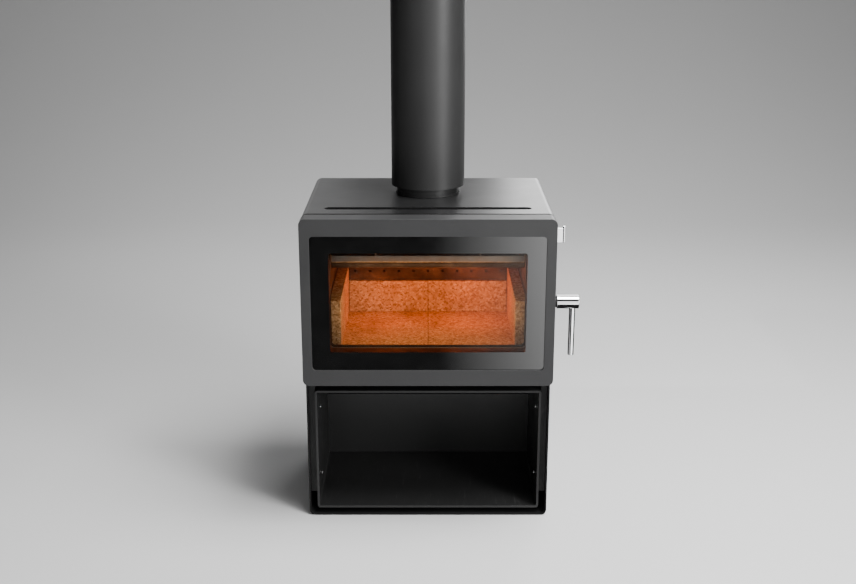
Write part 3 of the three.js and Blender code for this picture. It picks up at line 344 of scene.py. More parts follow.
def paint_shade_on_cut_edges(paint):
    tone = paint.shader.inputs["Base Color"].links[0].from_socket
    gloss = paint.shader.inputs["Roughness"].links[0].from_socket
    depth = paint.height("Y")
    rim = paint.spread(depth, casing_low.y + 0.2 * MM, casing_low.y + 0.5 * MM, 1.0, 0.0)
    top = casing_high.z
    below = paint.spread(paint.height("Z"), top - 0.6 * MM, top - 0.3 * MM, 1.0, 0.0)
    behind_front = paint.spread(depth, SLOT_FRONT - SLOT_MARGIN, SLOT_FRONT, 0.0, 1.0)
    before_back = paint.spread(depth, SLOT_BACK, SLOT_BACK + SLOT_MARGIN, 1.0, 0.0)
    across = paint.sum(paint.height("X"), 0.0, "ABSOLUTE")
    between_ends = paint.spread(across, SLOT_HALF, SLOT_HALF + SLOT_MARGIN, 1.0, 0.0)
    along = paint.sum(paint.sum(behind_front, before_back, "MINIMUM"), between_ends, "MINIMUM")
    edge = paint.sum(rim, paint.sum(below, along, "MINIMUM"), "MAXIMUM")
    # painted shade: the front rim and the slot walls get a near-black colour
    paint.colour(paint.mix(edge, tone, (0.0015, 0.0015, 0.0015)))
    paint.roughness(paint.sum(gloss, paint.sum(edge, 0.6, "MULTIPLY")))


paint_shade_on_cut_edges(casing_paint)
print("slot edges dulled from", round(SLOT_FRONT, 4), "to", round(SLOT_BACK, 4))


# %% [markdown]
# ### The log box's paint
#
# Split wood is thrown in and dragged out, so the log box's floor shows long pale scuffs and
# crumbs of bark dust. The scuffs are a noise stretched from front to back, and they fade with
# height, because logs rub the floor and hardly touch the top of the walls.

# %% Scuffed paint for the log box
def scuffed_paint():
    paint = Recipe("scuffed_log_box_paint")
    paint.fixed(Specular_IOR_Level=0.3)
    drag = paint.noise(1.0, 4.0, 0.7, along=paint.stretched((240.0, 9.0, 60.0)))
    scuff = paint.spread(drag, 0.60, 0.74)
    low = paint.spread(paint.height("Z"), 0.02, 0.05, 0.4, 0.0)
    amount = paint.sum(scuff, low, "MULTIPLY")
    grit = paint.noise(700.0, 2.0, 0.6)
    base = paint.ramp(grit, (0.3, (0.013, 0.013, 0.013)), (0.75, (0.021, 0.021, 0.021)))
    bark = paint.spread(paint.noise(420.0, 5.0, 0.75), 0.66, 0.74, 0.0, 0.6)
    crumbs = paint.sum(bark, low, "MULTIPLY")
    scuffed = paint.mix(amount, base, (0.12, 0.12, 0.118))
    paint.colour(paint.mix(crumbs, scuffed, (0.16, 0.10, 0.055)))
    paint.roughness(paint.spread(paint.noise(18.0, 2.0, 0.5), 0.15, 0.85, 0.30, 0.42))
    paint.bump(drag, 0.00008, 0.4, under=paint.bump(grit, 0.00005, 0.5))
    return paint


log_box_paint = scuffed_paint()
print("log box:", log_box_paint.material.name)

# %% [markdown]
# ### Steel in the heat
#
# Firebox plate starts as bare mill steel and ends brown-grey, blotched and sooty. Soot gathers
# in soft clouds, and where it burns off the plate turns pale. The recipe lays two cloud sizes
# over each other and keeps the surface rough.


# %% Sooted plate
def sooted_steel():
    steel = Recipe("sooted_firebox_steel")
    clouds = steel.noise(11.0, 5.0, 0.65)
    grain = steel.noise(420.0, 4.0, 0.65)
    burnt = steel.ramp(
        clouds,
        (0.28, (0.020, 0.017, 0.015)),
        (0.50, (0.065, 0.050, 0.040)),
        (0.72, (0.150, 0.120, 0.095)),
    )
    fleck = steel.ramp(grain, (0.35, (0.7, 0.7, 0.7)), (0.7, (1.2, 1.15, 1.1)))
    steel.colour(steel.mix(1.0, burnt, fleck, "MULTIPLY"))
    steel.roughness(steel.spread(clouds, 0.3, 0.7, 0.85, 0.55))
    steel.fixed(Metallic=0.25)
    steel.bump(grain, 0.00018, 0.6, under=steel.bump(steel.noise(60.0, 3.0, 0.6), 0.0003, 0.4))
    return steel


firebox_steel = sooted_steel()
print("firebox:", firebox_steel.material.name)

# %% [markdown]
# ### Bare steel
#
# Rolled sheet has a grain: fine lines the way it went through the mill, broken by cloudy
# oxide. The same recipe, with a tighter grain and a brighter colour, is brushed stainless.


# %% Rolled and brushed steel
def bare_steel(name, dark, light, smooth, rough, grain_along, tint=None):
    steel = Recipe(name)
    lines = steel.noise(1.0, 5.0, 0.7, along=steel.stretched(grain_along))
    cloud = steel.noise(22.0, 4.0, 0.6)
    base = steel.ramp(lines, (0.3, dark), (0.7, light))
    if tint:
        base = steel.mix(steel.spread(cloud, 0.35, 0.7, 0.0, 0.75), base, tint)
    steel.colour(base)
    steel.fixed(Metallic=0.9)
    steel.roughness(steel.spread(cloud, 0.3, 0.7, smooth, rough))
    steel.bump(lines, 0.00003, 0.5)
    return steel


plain_steel = bare_steel(
    "rolled_sheet_steel", (0.20, 0.20, 0.20), (0.34, 0.34, 0.33), 0.38, 0.55,
    (900.0, 900.0, 12.0), (0.22, 0.205, 0.19),
)
bright_steel = bare_steel(
    "brushed_stainless", (0.46, 0.46, 0.45), (0.66, 0.66, 0.65), 0.22, 0.34, (1400.0, 60.0, 60.0)
)
deflector_steel = bare_steel(
    "heat_dulled_stainless", (0.26, 0.26, 0.26), (0.42, 0.42, 0.41), 0.34, 0.5,
    (12.0, 1500.0, 1500.0), (0.24, 0.20, 0.155),
)
print("bare metal:", plain_steel.material.name, bright_steel.material.name)


# %% [markdown]
# ### Polished chrome
#
# Chrome is nearly a mirror, so its life is in what it reflects. Fingers leave soft smears and
# a cloth leaves hairlines, and both show only as a change of roughness.

# %% Chrome
def polished_chrome():
    chrome = Recipe("polished_chrome")
    smear = chrome.noise(55.0, 4.0, 0.6)
    hair = chrome.noise(1.0, 2.0, 0.6, along=chrome.stretched((2600.0, 2600.0, 160.0)))
    chrome.colour(chrome.ramp(smear, (0.3, (0.80, 0.80, 0.81)), (0.7, (0.88, 0.88, 0.88))))
    chrome.fixed(Metallic=1.0)
    chrome.roughness(chrome.spread(smear, 0.40, 0.75, 0.05, 0.15))
    chrome.bump(hair, 0.000006, 0.4)
    return chrome


chrome = polished_chrome()
print("trim:", chrome.material.name)

# %% [markdown]
# ### Fire brick
#
# The lining is pressed vermiculite: golden flakes in a tan binder, soft enough to dent with a
# thumbnail. Small cells give the flakes, each with its own tone, and clouds of soot, left where
# smoke rolls back, darken it in patches.


# %% Vermiculite fire brick
def vermiculite():
    brick = Recipe("speckled_firebrick")
    flakes = brick.cells(210.0)
    tone = brick.nodes.new("ShaderNodeSeparateColor")
    brick.join(flakes.outputs["Color"], tone.inputs["Color"])
    base = brick.ramp(
        tone.outputs[0],
        (0.05, (0.30, 0.20, 0.10)),
        (0.35, (0.50, 0.37, 0.20)),
        (0.75, (0.62, 0.48, 0.28)),
        (0.97, (0.74, 0.62, 0.42)),
    )
    crumb = brick.noise(900.0, 4.0, 0.7)
    speck = brick.ramp(crumb, (0.30, (0.72, 0.70, 0.66)), (0.65, (1.08, 1.08, 1.08)))
    body = brick.mix(1.0, base, speck, "MULTIPLY")
    smoke = brick.spread(brick.noise(9.0, 5.0, 0.65), 0.48, 0.78, 0.0, 0.55)
    brick.colour(brick.mix(smoke, body, (0.085, 0.060, 0.045)))
    brick.roughness(brick.spread(crumb, 0.3, 0.7, 0.96, 0.8))
    pitted = brick.bump(flakes.outputs["Distance"], 0.0005, 0.5)
    brick.bump(crumb, 0.0004, 0.6, under=pitted)
    return brick


firebrick = vermiculite()
print("lining:", firebrick.material.name)

# %% [markdown]
# ### Stove glass and its border
#
# The pane is ceramic glass: clear, faintly smoky at its edges, and mirror smooth on the room
# side. It is mixed from a clear shader and a gloss, with more gloss at a shallow angle, so
# that the fire is seen through it and the room is seen in it. The border is black enamel,
# fired on and as glossy as the glass itself.


# %% Glass
def stove_glass():
    glass = Recipe("ceramic_stove_glass")
    glass.nodes.remove(glass.shader)
    output = glass.nodes["Material Output"]
    clear = glass.nodes.new("ShaderNodeBsdfTransparent")
    clear.inputs["Color"].default_value = (0.76, 0.745, 0.72, 1.0)
    gloss = glass.nodes.new("ShaderNodeBsdfGlossy")
    gloss.inputs["Color"].default_value = (1.0, 1.0, 1.0, 1.0)
    gloss.inputs["Roughness"].default_value = 0.03
    haze = glass.nodes.new("ShaderNodeBsdfDiffuse")
    haze.inputs["Color"].default_value = (0.10, 0.085, 0.07, 1.0)
    facing = glass.nodes.new("ShaderNodeFresnel")
    facing.inputs["IOR"].default_value = 1.3
    soot = glass.spread(glass.noise(16.0, 5.0, 0.7), 0.62, 0.9, 0.0, 0.10)
    shaded = glass.nodes.new("ShaderNodeMixShader")
    glass.join(soot, shaded.inputs[0])
    glass.join(clear.outputs[0], shaded.inputs[1])
    glass.join(haze.outputs[0], shaded.inputs[2])
    pane = glass.nodes.new("ShaderNodeMixShader")
    glass.join(facing.outputs[0], pane.inputs[0])
    glass.join(shaded.outputs[0], pane.inputs[1])
    glass.join(gloss.outputs[0], pane.inputs[2])
    glass.join(pane.outputs[0], output.inputs["Surface"])
    return glass


def border_enamel():
    enamel = Recipe("black_border_enamel")
    cloud = enamel.noise(26.0, 4.0, 0.6)
    enamel.colour(enamel.ramp(cloud, (0.3, (0.003, 0.003, 0.003)), (0.7, (0.005, 0.005, 0.005))))
    enamel.roughness(enamel.spread(cloud, 0.35, 0.75, 0.06, 0.10))
    enamel.fixed(IOR=1.95)
    return enamel


glass_recipe = stove_glass()
enamel = border_enamel()
print("pane:", glass_recipe.material.name, enamel.material.name)

# %% [markdown]
# ### Woven fibre
#
# The door closes on a rope knitted from glass fibre, and the pane beds on a flat tape of the
# same yarn. Two sets of fine waves crossing at a slant read as the knit.


# %% Woven glass fibre
def woven_fibre():
    fibre = Recipe("woven_glass_fibre")
    waves = []
    for slant in (1.0, -1.0):
        turned = fibre.nodes.new("ShaderNodeMapping")
        turned.inputs["Rotation"].default_value = (0.0, math.radians(42.0) * slant, 0.0)
        fibre.join(fibre.place, turned.inputs["Vector"])
        wave = fibre.nodes.new("ShaderNodeTexWave")
        wave.inputs["Scale"].default_value = 95.0
        wave.inputs["Distortion"].default_value = 0.8
        fibre.join(turned.outputs["Vector"], wave.inputs["Vector"])
        waves.append(wave.outputs["Fac"])
    knit = fibre.sum(waves[0], waves[1], "MAXIMUM")
    fuzz = fibre.noise(1600.0, 3.0, 0.7)
    base = fibre.ramp(knit, (0.2, (0.035, 0.035, 0.034)), (0.9, (0.17, 0.168, 0.16)))
    speck = fibre.ramp(fuzz, (0.3, (0.75, 0.75, 0.75)), (0.7, (1.15, 1.15, 1.15)))
    fibre.colour(fibre.mix(1.0, base, speck, "MULTIPLY"))
    fibre.roughness(fibre.spread(fuzz, 0.3, 0.7, 0.85, 1.0))
    fibre.fixed(Sheen_Weight=0.3)
    fibre.bump(fuzz, 0.0002, 0.4, under=fibre.bump(knit, 0.0006, 0.8))
    return fibre


gasket_fibre = woven_fibre()
print("seals:", gasket_fibre.material.name)

# %% [markdown]
# ## Dressing the steelwork
#
# Each material slot of the record now gets its recipe. Pieces that stay plain in shape keep
# their own mesh and change only their surface.

# %% Which recipe goes on which slot
RECIPES = {
    "casing_paint": casing_paint,
    "inner_paint": inner_paint,
    "log_box_paint": log_box_paint,
    "door_paint": door_paint,
    "flue_paint": flue_paint,
    "bush_paint": inner_paint,
    "firebox_steel": firebox_steel,
    "plain_steel": plain_steel,
    "bright_steel": bright_steel,
    "deflector_steel": deflector_steel,
    "chrome_trim": chrome,
    "firebrick": firebrick,
    "stove_glass": glass_recipe,
    "gasket_fibre": gasket_fibre,
}
SLOT_OF = {entry["node"]: entry["material_slot"] for entry in frame["record"]["subparts"]}
BODY_OF = {
    node: body for body, nodes in frame["record"]["behaviour"]["bodies"].items() for node in nodes
}
for node, slot in SLOT_OF.items():
    for place in frame["nodes"][node].material_slots:
        place.material = RECIPES[slot].material
print("dressed", len(SLOT_OF), "pieces with", len(RECIPES), "recipes")


# %% Handing a finished piece over to its body
def hand_over(piece, body, slot, recipe=None):
    piece.data.materials.clear()
    piece.data.materials.append((recipe or RECIPES[slot]).material)
    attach(piece, body)
    return piece


def finish_node(node, width, segments=2):
    piece = broken_edges(node, width, segments)
    return hand_over(piece, BODY_OF[node], SLOT_OF[node])


# %% [markdown]
# ## Casing and door
#
# The casing is one wrap of plate with its cut edges eased. The door is a pressed shell, so its
# edges are rounder. Both are the CAD shapes with their edges broken, because the rounded
# corners are already in them.

# %% Ease the plates
for node, width, segments in (
    ("casing_wrap", 0.0005, 2),
    ("door_frame", 0.0011, 3),
    ("log_box", 0.0012, 3),
    ("divider_shelf", 0.0008, 2),
    ("rear_panel", 0.0004, 1),
    ("door_glass", 0.0008, 2),
    ("door_inner_frame", 0.0008, 2),
    ("store_bracket_left", 0.0006, 2),
    ("store_bracket_right", 0.0006, 2),
):
    piece = finish_node(node, width, segments)
    print(node, "has", len(piece.data.polygons), "faces")

# %% [markdown]
# ## Firebox and lining
#
# Bricks are cut with a saw and chip at the corners, so they get a wider bevel than steel does.
# The folded and welded plates get a small one.

# %% Bricks and firebox plates
BRICK_CHIP = 1.8 * MM
STEEL_EDGE = 0.4 * MM
ROPE_ROUND = 4.5 * MM
ROPE_SHARE = 0.4
bricks = [node for node, slot in SLOT_OF.items() if slot == "firebrick"]
for node in bricks:
    finish_node(node, BRICK_CHIP, 3)
for node in (
    "firebox_face_plate", "firebox_shell", "rear_air_manifold", "airwash_deflector",
    "airwash_duct", "air_slide_guide", "air_slide_plate", "latch_striker", "latch_spindle",
    "hinge_bracket_lower", "hinge_bracket_upper", "hinge_lug_lower", "hinge_lug_upper",
    "hinge_pin_lower", "hinge_pin_upper", "air_tube_front", "air_tube_rear",
    "firebox_support_left", "firebox_support_right", "floor_heat_shield", "rear_heat_shield",
    "flue_spacer_lower", "flue_spacer_upper", "flue_collar", "collar_trim_ring",
    "handle_bush", "air_control_stem",
):
    finish_node(node, STEEL_EDGE)
for node in ("door_rope_seal", "glass_gasket"):
    low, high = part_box(node)
    finish_node(node, min(ROPE_ROUND, (high.y - low.y) * ROPE_SHARE), 4)
print("finished", len(bricks), "bricks and the plates round them")

# %% [markdown]
# ## The flue casing
#
# The outer flue is a rolled tube. It could be a copy of the CAD tube, but that one is a coarse
# polygon and would show flats in its highlight. So it is made afresh from a fine cylinder: the
# caps come off, the wall is given its thickness, and the cut ends are eased. The liner inside
# it is made the same way.

# %% Roll the flue casing
flue_low, flue_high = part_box("flue_casing")
flue_x = (flue_low.x + flue_high.x) / 2
flue_y = (flue_low.y + flue_high.y) / 2
flue_radius = (flue_high.x - flue_low.x) / 2
flue_length = flue_high.z - flue_low.z
FLUE_SHEET = 1.5 * MM
EASED_SHARE = 0.35
FLUE_SIDES = 160
LINER_SIDES = 128


def rolled_tube(name, radius, low, high, sheet, sides):
    put_everything_down()
    bpy.ops.mesh.primitive_cylinder_add(
        vertices=sides, radius=radius, depth=high - low, location=(flue_x, flue_y, (low + high) / 2)
    )
    tube = settle(new_piece(name))
    bpy.ops.object.mode_set(mode="EDIT")
    pick_faces(tube, lambda centre, normal: abs(normal.z) > 0.9)
    bpy.ops.mesh.delete(type="FACE")
    bpy.ops.object.mode_set(mode="OBJECT")
    wall = tube.modifiers.new("wall", "SOLIDIFY")
    wall.thickness = sheet
    wall.offset = -1.0
    bpy.ops.object.modifier_apply(modifier=wall.name)
    ease(tube, sheet * EASED_SHARE, 3)
    return smooth(tube)


flue_tube = rolled_tube(
    "flue_casing_rolled", flue_radius, flue_low.z, flue_high.z, FLUE_SHEET, FLUE_SIDES
)
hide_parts("flue_casing")
hand_over(flue_tube, "stove", "flue_paint")
pipe_low, pipe_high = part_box("flue_pipe")
pipe_radius = (pipe_high.x - pipe_low.x) / 2
flue_liner = rolled_tube(
    "flue_pipe_rolled", pipe_radius, pipe_low.z, pipe_high.z, FLUE_SHEET, LINER_SIDES
)
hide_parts("flue_pipe")
hand_over(flue_liner, "stove", "bright_steel")
print("flue", round(2 * flue_radius, 3), "across,", round(flue_length, 3), "long")

# %% [markdown]
# ## The handle
#
# The hub and rod are turned from bar and chromed. A lathe leaves a chamfer on each end and a
# shallow dish in the free end. Each is a fine cylinder whose edges are bevelled and whose free
# end is inset, which gives the reflections the crisp lines of turned work.


# %% Turn a bar between two ends
CHAMFER_STEPS = 4
END_WALL_SLOPE = 1.2


def turned_bar(name, start, end, radius, chamfer, sides):
    """A bar from start to end, along X or Z, with rounded ends."""
    along = end - start
    put_everything_down()
    turn = (0.0, math.radians(90), 0.0) if abs(along.x) > abs(along.z) else (0.0, 0.0, 0.0)
    bpy.ops.mesh.primitive_cylinder_add(
        vertices=sides,
        radius=radius,
        depth=along.length,
        location=(start + end) / 2,
        rotation=turn,
    )
    bar = settle(new_piece(name))
    ease(bar, chamfer, CHAMFER_STEPS)
    return bar


def dished_end(bar, towards, inset, depth):
    """Press a shallow dish into the end face that looks the given way."""
    pick_up(bar)
    bpy.ops.object.mode_set(mode="EDIT")
    found = pick_faces(bar, lambda centre, normal: normal.dot(towards) > 0.999)
    bpy.ops.mesh.inset(thickness=inset, depth=0.0)
    bpy.ops.mesh.inset(thickness=depth * END_WALL_SLOPE, depth=-depth)
    bpy.ops.object.mode_set(mode="OBJECT")
    return found


# %% Hub and rod
HUB_SIDES = 128
HUB_CHAMFER = 1.4 * MM
HUB_RIM = 2.2 * MM
HUB_DISH = 0.5 * MM
ROD_SIDES = 80
ROD_CHAMFER = 1.2 * MM
ROD_RIM = 1.5 * MM
ROD_DISH = 0.3 * MM
hub_low, hub_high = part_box("handle_hub")
rod_low, rod_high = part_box("handle_rod")
hub_centre = (hub_low + hub_high) / 2
hub_radius = (hub_high.z - hub_low.z) / 2
hub = turned_bar(
    "handle_hub_turned",
    Vector((hub_low.x, hub_centre.y, hub_centre.z)),
    Vector((hub_high.x, hub_centre.y, hub_centre.z)),
    hub_radius,
    HUB_CHAMFER,
    HUB_SIDES,
)
dished_end(hub, Vector((1, 0, 0)), HUB_RIM, HUB_DISH)
smooth(hub, SOFT_BELOW_ON_SMALL)
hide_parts("handle_hub")
hand_over(hub, "handle", "chrome_trim")

rod_centre = (rod_low + rod_high) / 2
rod = turned_bar(
    "handle_rod_turned",
    Vector((rod_centre.x, rod_centre.y, rod_low.z)),
    Vector((rod_centre.x, rod_centre.y, rod_high.z)),
    (rod_high.x - rod_low.x) / 2,
    ROD_CHAMFER,
    ROD_SIDES,
)
dished_end(rod, Vector((0, 0, -1)), ROD_RIM, ROD_DISH)
smooth(rod, SOFT_BELOW_ON_SMALL)
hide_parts("handle_rod")
hand_over(rod, "handle", "chrome_trim")
print("hub", round(2 * hub_radius, 4), "across, rod", round(rod_high.x - rod_low.x, 4), "across")

# %% [markdown]
# ## The air control
#
# A flat polished plate stands out through the slot in the casing, with an upright bar along
# its edge for the fingers. It is two turned and filed pieces brazed together, so they are
# modelled apart and then joined.

# %% Air control knob
knob_low, knob_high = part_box("air_control_knob")
BAR_RADIUS = 4.2 * MM
BAR_CHAMFER = 1.0 * MM
BAR_SIDES = 64
PLATE_INTO_BAR = 1.2 * MM
PLATE_THICKNESS = 5.0 * MM
PLATE_HEIGHT = 38 * MM
PLATE_EDGE = 0.7 * MM
plate_end = knob_high.x - 2 * BAR_RADIUS + PLATE_INTO_BAR
plate_top = knob_low.z + PLATE_HEIGHT
knob_y = (knob_low.y + knob_high.y) / 2
knob_bar = turned_bar(
    "air_control_knob_filed",
    Vector((knob_high.x - BAR_RADIUS, knob_y, knob_low.z)),
    Vector((knob_high.x - BAR_RADIUS, knob_y, knob_high.z)),
    BAR_RADIUS,
    BAR_CHAMFER,
    BAR_SIDES,
)
put_everything_down()
bpy.ops.mesh.primitive_cube_add(
    size=1.0,
    location=((knob_low.x + plate_end) / 2, knob_y, (knob_low.z + plate_top) / 2),
    scale=(plate_end - knob_low.x, PLATE_THICKNESS, plate_top - knob_low.z),
)
knob_plate = settle(new_piece("knob_plate"))
edge = knob_plate.modifiers.new("edge", "BEVEL")
edge.width = PLATE_EDGE
edge.segments = 3
bpy.ops.object.modifier_apply(modifier=edge.name)
put_everything_down()
knob_plate.select_set(True)
knob_bar.select_set(True)
bpy.context.view_layer.objects.active = knob_bar
bpy.ops.object.join()
smooth(knob_bar, SOFT_BELOW_ON_SMALL)
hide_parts("air_control_knob")
hand_over(knob_bar, "air_control", "chrome_trim")
print("knob", round(knob_high.z - knob_low.z, 3), "high")

# %% [markdown]
# ## The printed border
#
# The glass has a black border about the width of three fingers. It is enamel, so it has hardly
# any thickness: a flat ring on the face of the pane, whose outer edge runs in behind the door's
# frame. Two rounded outlines are drawn, and the ring is bridged between them.

# %% Print the border
BORDER_SIDE = 48 * MM
BORDER_TOP = 44.5 * MM
BORDER_BOTTOM = 49 * MM
GLASS_LAP = 7 * MM
INK = 0.10 * MM
INK_UNDER_FRAME = 3 * MM
INK_FROM_PANE = 0.12 * MM
WINDOW_CORNER = 5 * MM
OUTLINE_CORNER = 9 * MM
CORNER_STEPS = 8


def rounded_outline(name, low_x, high_x, low_z, high_z, y, corner):
    """The rounded outline of a plate that faces -Y, with its face taken out."""
    put_everything_down()
    bpy.ops.mesh.primitive_plane_add(
        size=1.0,
        location=((low_x + high_x) / 2, y, (low_z + high_z) / 2),
        rotation=(math.radians(90), 0.0, 0.0),
    )
    plate = new_piece(name)
    plate.scale = (high_x - low_x, high_z - low_z, 1.0)
    settle(plate)
    bpy.ops.object.mode_set(mode="EDIT")
    bpy.ops.mesh.select_all(action="SELECT")
    bpy.ops.mesh.bevel(offset=corner, segments=CORNER_STEPS, affect="VERTICES")
    bpy.ops.mesh.select_all(action="SELECT")
    bpy.ops.mesh.delete(type="ONLY_FACE")
    bpy.ops.object.mode_set(mode="OBJECT")
    return plate


ink_y = glass_low.y - INK_FROM_PANE
window_low_x = glass_low.x + GLASS_LAP + BORDER_SIDE
window_high_x = glass_high.x - GLASS_LAP - BORDER_SIDE
window_low_z = glass_low.z + GLASS_LAP + BORDER_BOTTOM
window_high_z = glass_high.z - GLASS_LAP - BORDER_TOP
border = rounded_outline(
    "glass_border_print",
    window_low_x,
    window_high_x,
    window_low_z,
    window_high_z,
    ink_y,
    WINDOW_CORNER,
)
outline = rounded_outline(
    "glass_border_outline",
    glass_low.x + INK_UNDER_FRAME,
    glass_high.x - INK_UNDER_FRAME,
    glass_low.z + INK_UNDER_FRAME,
    glass_high.z - INK_UNDER_FRAME,
    ink_y,
    OUTLINE_CORNER,
)
put_everything_down()
outline.select_set(True)
border.select_set(True)
bpy.context.view_layer.objects.active = border
bpy.ops.object.join()
bpy.ops.object.mode_set(mode="EDIT")
bpy.ops.mesh.select_mode(type="EDGE")
bpy.ops.mesh.select_all(action="SELECT")
bpy.ops.mesh.bridge_edge_loops()
bpy.ops.mesh.normals_make_consistent(inside=False)
bpy.ops.object.mode_set(mode="OBJECT")
ink = border.modifiers.new("ink", "SOLIDIFY")
ink.thickness = INK
ink.offset = 0.0
bpy.ops.object.modifier_apply(modifier=ink.name)
hand_over(border, "door", "bush_paint", enamel)
window_width = window_high_x - window_low_x
window_height = window_high_z - window_low_z
print("clear window", round(window_width, 3), "x", round(window_height, 3))

# %% [markdown]
# ## Screws and nuts
#
# Fixings are small, but they tell the eye how big everything is. One pan-head screw is
# modelled with a cross recess, and then copied to each place. Each copy owns its mesh, because
# two pieces that share one can't be placed apart.

# %% One pan-head screw
SCREW_HEAD_RADIUS = 4.5 * MM
SCREW_HEAD_HEIGHT = 3.0 * MM
SCREW_DOME = 1.3 * MM
SCREW_SIDES = 48
RECESS_SIZE = (4.6 * MM, 1.0 * MM, 2.6 * MM)


def pan_head(name):
    """A domed head standing on z = 0 and looking up, with a cross recess."""
    put_everything_down()
    bpy.ops.mesh.primitive_cylinder_add(
        vertices=SCREW_SIDES,
        radius=SCREW_HEAD_RADIUS,
        depth=SCREW_HEAD_HEIGHT,
        location=(0.0, 0.0, SCREW_HEAD_HEIGHT / 2),
    )
    head = settle(new_piece(name))
    ease(head, SCREW_DOME, 5)
    for turn in (0.0, 90.0):
        put_everything_down()
        bpy.ops.mesh.primitive_cube_add(
            size=1.0,
            location=(0.0, 0.0, SCREW_HEAD_HEIGHT),
            rotation=(0.0, 0.0, math.radians(turn)),
            scale=RECESS_SIZE,
        )
        slot_cutter = settle(new_piece("recess_cutter"))
        recess = head.modifiers.new("recess", "BOOLEAN")
        recess.object = slot_cutter
        recess.operation = "DIFFERENCE"
        recess.solver = "EXACT"
        pick_up(head)
        bpy.ops.object.modifier_apply(modifier=recess.name)
        pick_up(slot_cutter)
        bpy.ops.object.delete()
    return smooth(head, SOFT_BELOW_ON_SMALL)


def place_copy(pattern, name, location, facing):
    """A copy of a piece that looks up +Z, moved so that it looks along facing."""
    pick_up(pattern)
    bpy.ops.object.duplicate()
    copy = new_piece(name)
    copy.rotation_mode = "QUATERNION"
    copy.rotation_quaternion = Z_UP.rotation_difference(facing)
    copy.location = location
    return settle(copy)


screw_pattern = pan_head("screw_pattern")
print("screw pattern has", len(screw_pattern.data.polygons), "faces")

# %% Screws in the log box
for side, looking in (("left", 1), ("right", -1)):
    for number in (1, 2):
        node = f"store_screw_{side}_{number}"
        low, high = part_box(node)
        seat = (low + high) / 2
        seat.x = (low.x if side == "right" else high.x) - looking * SCREW_HEAD_HEIGHT
        screw = place_copy(screw_pattern, node + "_head", seat, Vector((looking, 0, 0)))
        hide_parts(node)
        hand_over(screw, "stove", "bright_steel")
print("log box screws placed")

# %% Screws in the rear panel
panel_low, panel_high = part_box("rear_panel")
SCREW_FROM_EDGE = 18 * MM
rows = (
    panel_low.z + SCREW_FROM_EDGE,
    (panel_low.z + panel_high.z) / 2,
    panel_high.z - SCREW_FROM_EDGE,
)
for side, x in (("left", panel_low.x + SCREW_FROM_EDGE), ("right", panel_high.x - SCREW_FROM_EDGE)):
    for number, z in enumerate(rows, 1):
        screw = place_copy(
            screw_pattern, f"rear_screw_{side}_{number}", Vector((x, panel_high.y, z)), Vector((0, 1, 0))
        )
        hand_over(screw, "stove", "inner_paint")
print("rear panel screws placed")

# %% Screws in the door's inner frame
inner_low, inner_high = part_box("door_inner_frame")
ROW_FROM_EDGE = 12 * MM
SCREW_SHARES = (0.06, 0.35, 0.65, 0.94)
GASKET_GAP = 0.3 * MM
FLANGE = 3 * MM
face_of_flange = gasket_high.y + GASKET_GAP + FLANGE
for row, z in (("lower", inner_low.z + ROW_FROM_EDGE), ("upper", inner_high.z - ROW_FROM_EDGE)):
    for number, share in enumerate(SCREW_SHARES, 1):
        x = inner_low.x + (inner_high.x - inner_low.x) * share
        screw = place_copy(
            screw_pattern, f"frame_screw_{row}_{number}", Vector((x, face_of_flange, z)), Vector((0, 1, 0))
        )
        hand_over(screw, "door", "bright_steel")
print("inner frame screws placed")

# %% [markdown]
# ## Nuts on the deflector
#
# The deflector hangs on two studs, and a nut on each holds it up. A hexagon is a six-sided
# cylinder. Its two ends are inset and bridged to open the bore, and its edges are bevelled.

# %% Two hexagon nuts
STUD_X = 136 * MM
NUT_RADIUS = 6.2 * MM
NUT_HEIGHT = 5.0 * MM
NUT_WALL = 2.2 * MM
NUT_EDGE = 0.5 * MM
NUT_SHARP_ABOVE = 30
STUD_SETBACK = 6.2 * MM
NUT_RISE = 30 * MM
deflector_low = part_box("airwash_deflector")[0]
stud_y = deflector_low.y + STUD_SETBACK
nut_z = deflector_low.z + NUT_RISE
for side, x in (("left", -STUD_X), ("right", STUD_X)):
    put_everything_down()
    bpy.ops.mesh.primitive_cylinder_add(
        vertices=6,
        radius=NUT_RADIUS,
        depth=NUT_HEIGHT,
        location=(x, stud_y, nut_z + NUT_HEIGHT / 2),
    )
    nut = settle(new_piece(f"deflector_nut_{side}"))
    bpy.ops.object.mode_set(mode="EDIT")
    pick_faces(nut, lambda centre, normal: abs(normal.z) > 0.9)
    bpy.ops.mesh.inset(thickness=NUT_WALL, depth=0.0)
    bpy.ops.mesh.bridge_edge_loops()
    bpy.ops.object.mode_set(mode="OBJECT")
    ease(nut, NUT_EDGE, 2, NUT_SHARP_ABOVE)
    smooth(nut, SOFT_BELOW_ON_SMALL)
    hand_over(nut, "stove", "bright_steel")
pick_up(screw_pattern)
bpy.ops.object.delete()
print("nuts at", round(nut_z, 3))
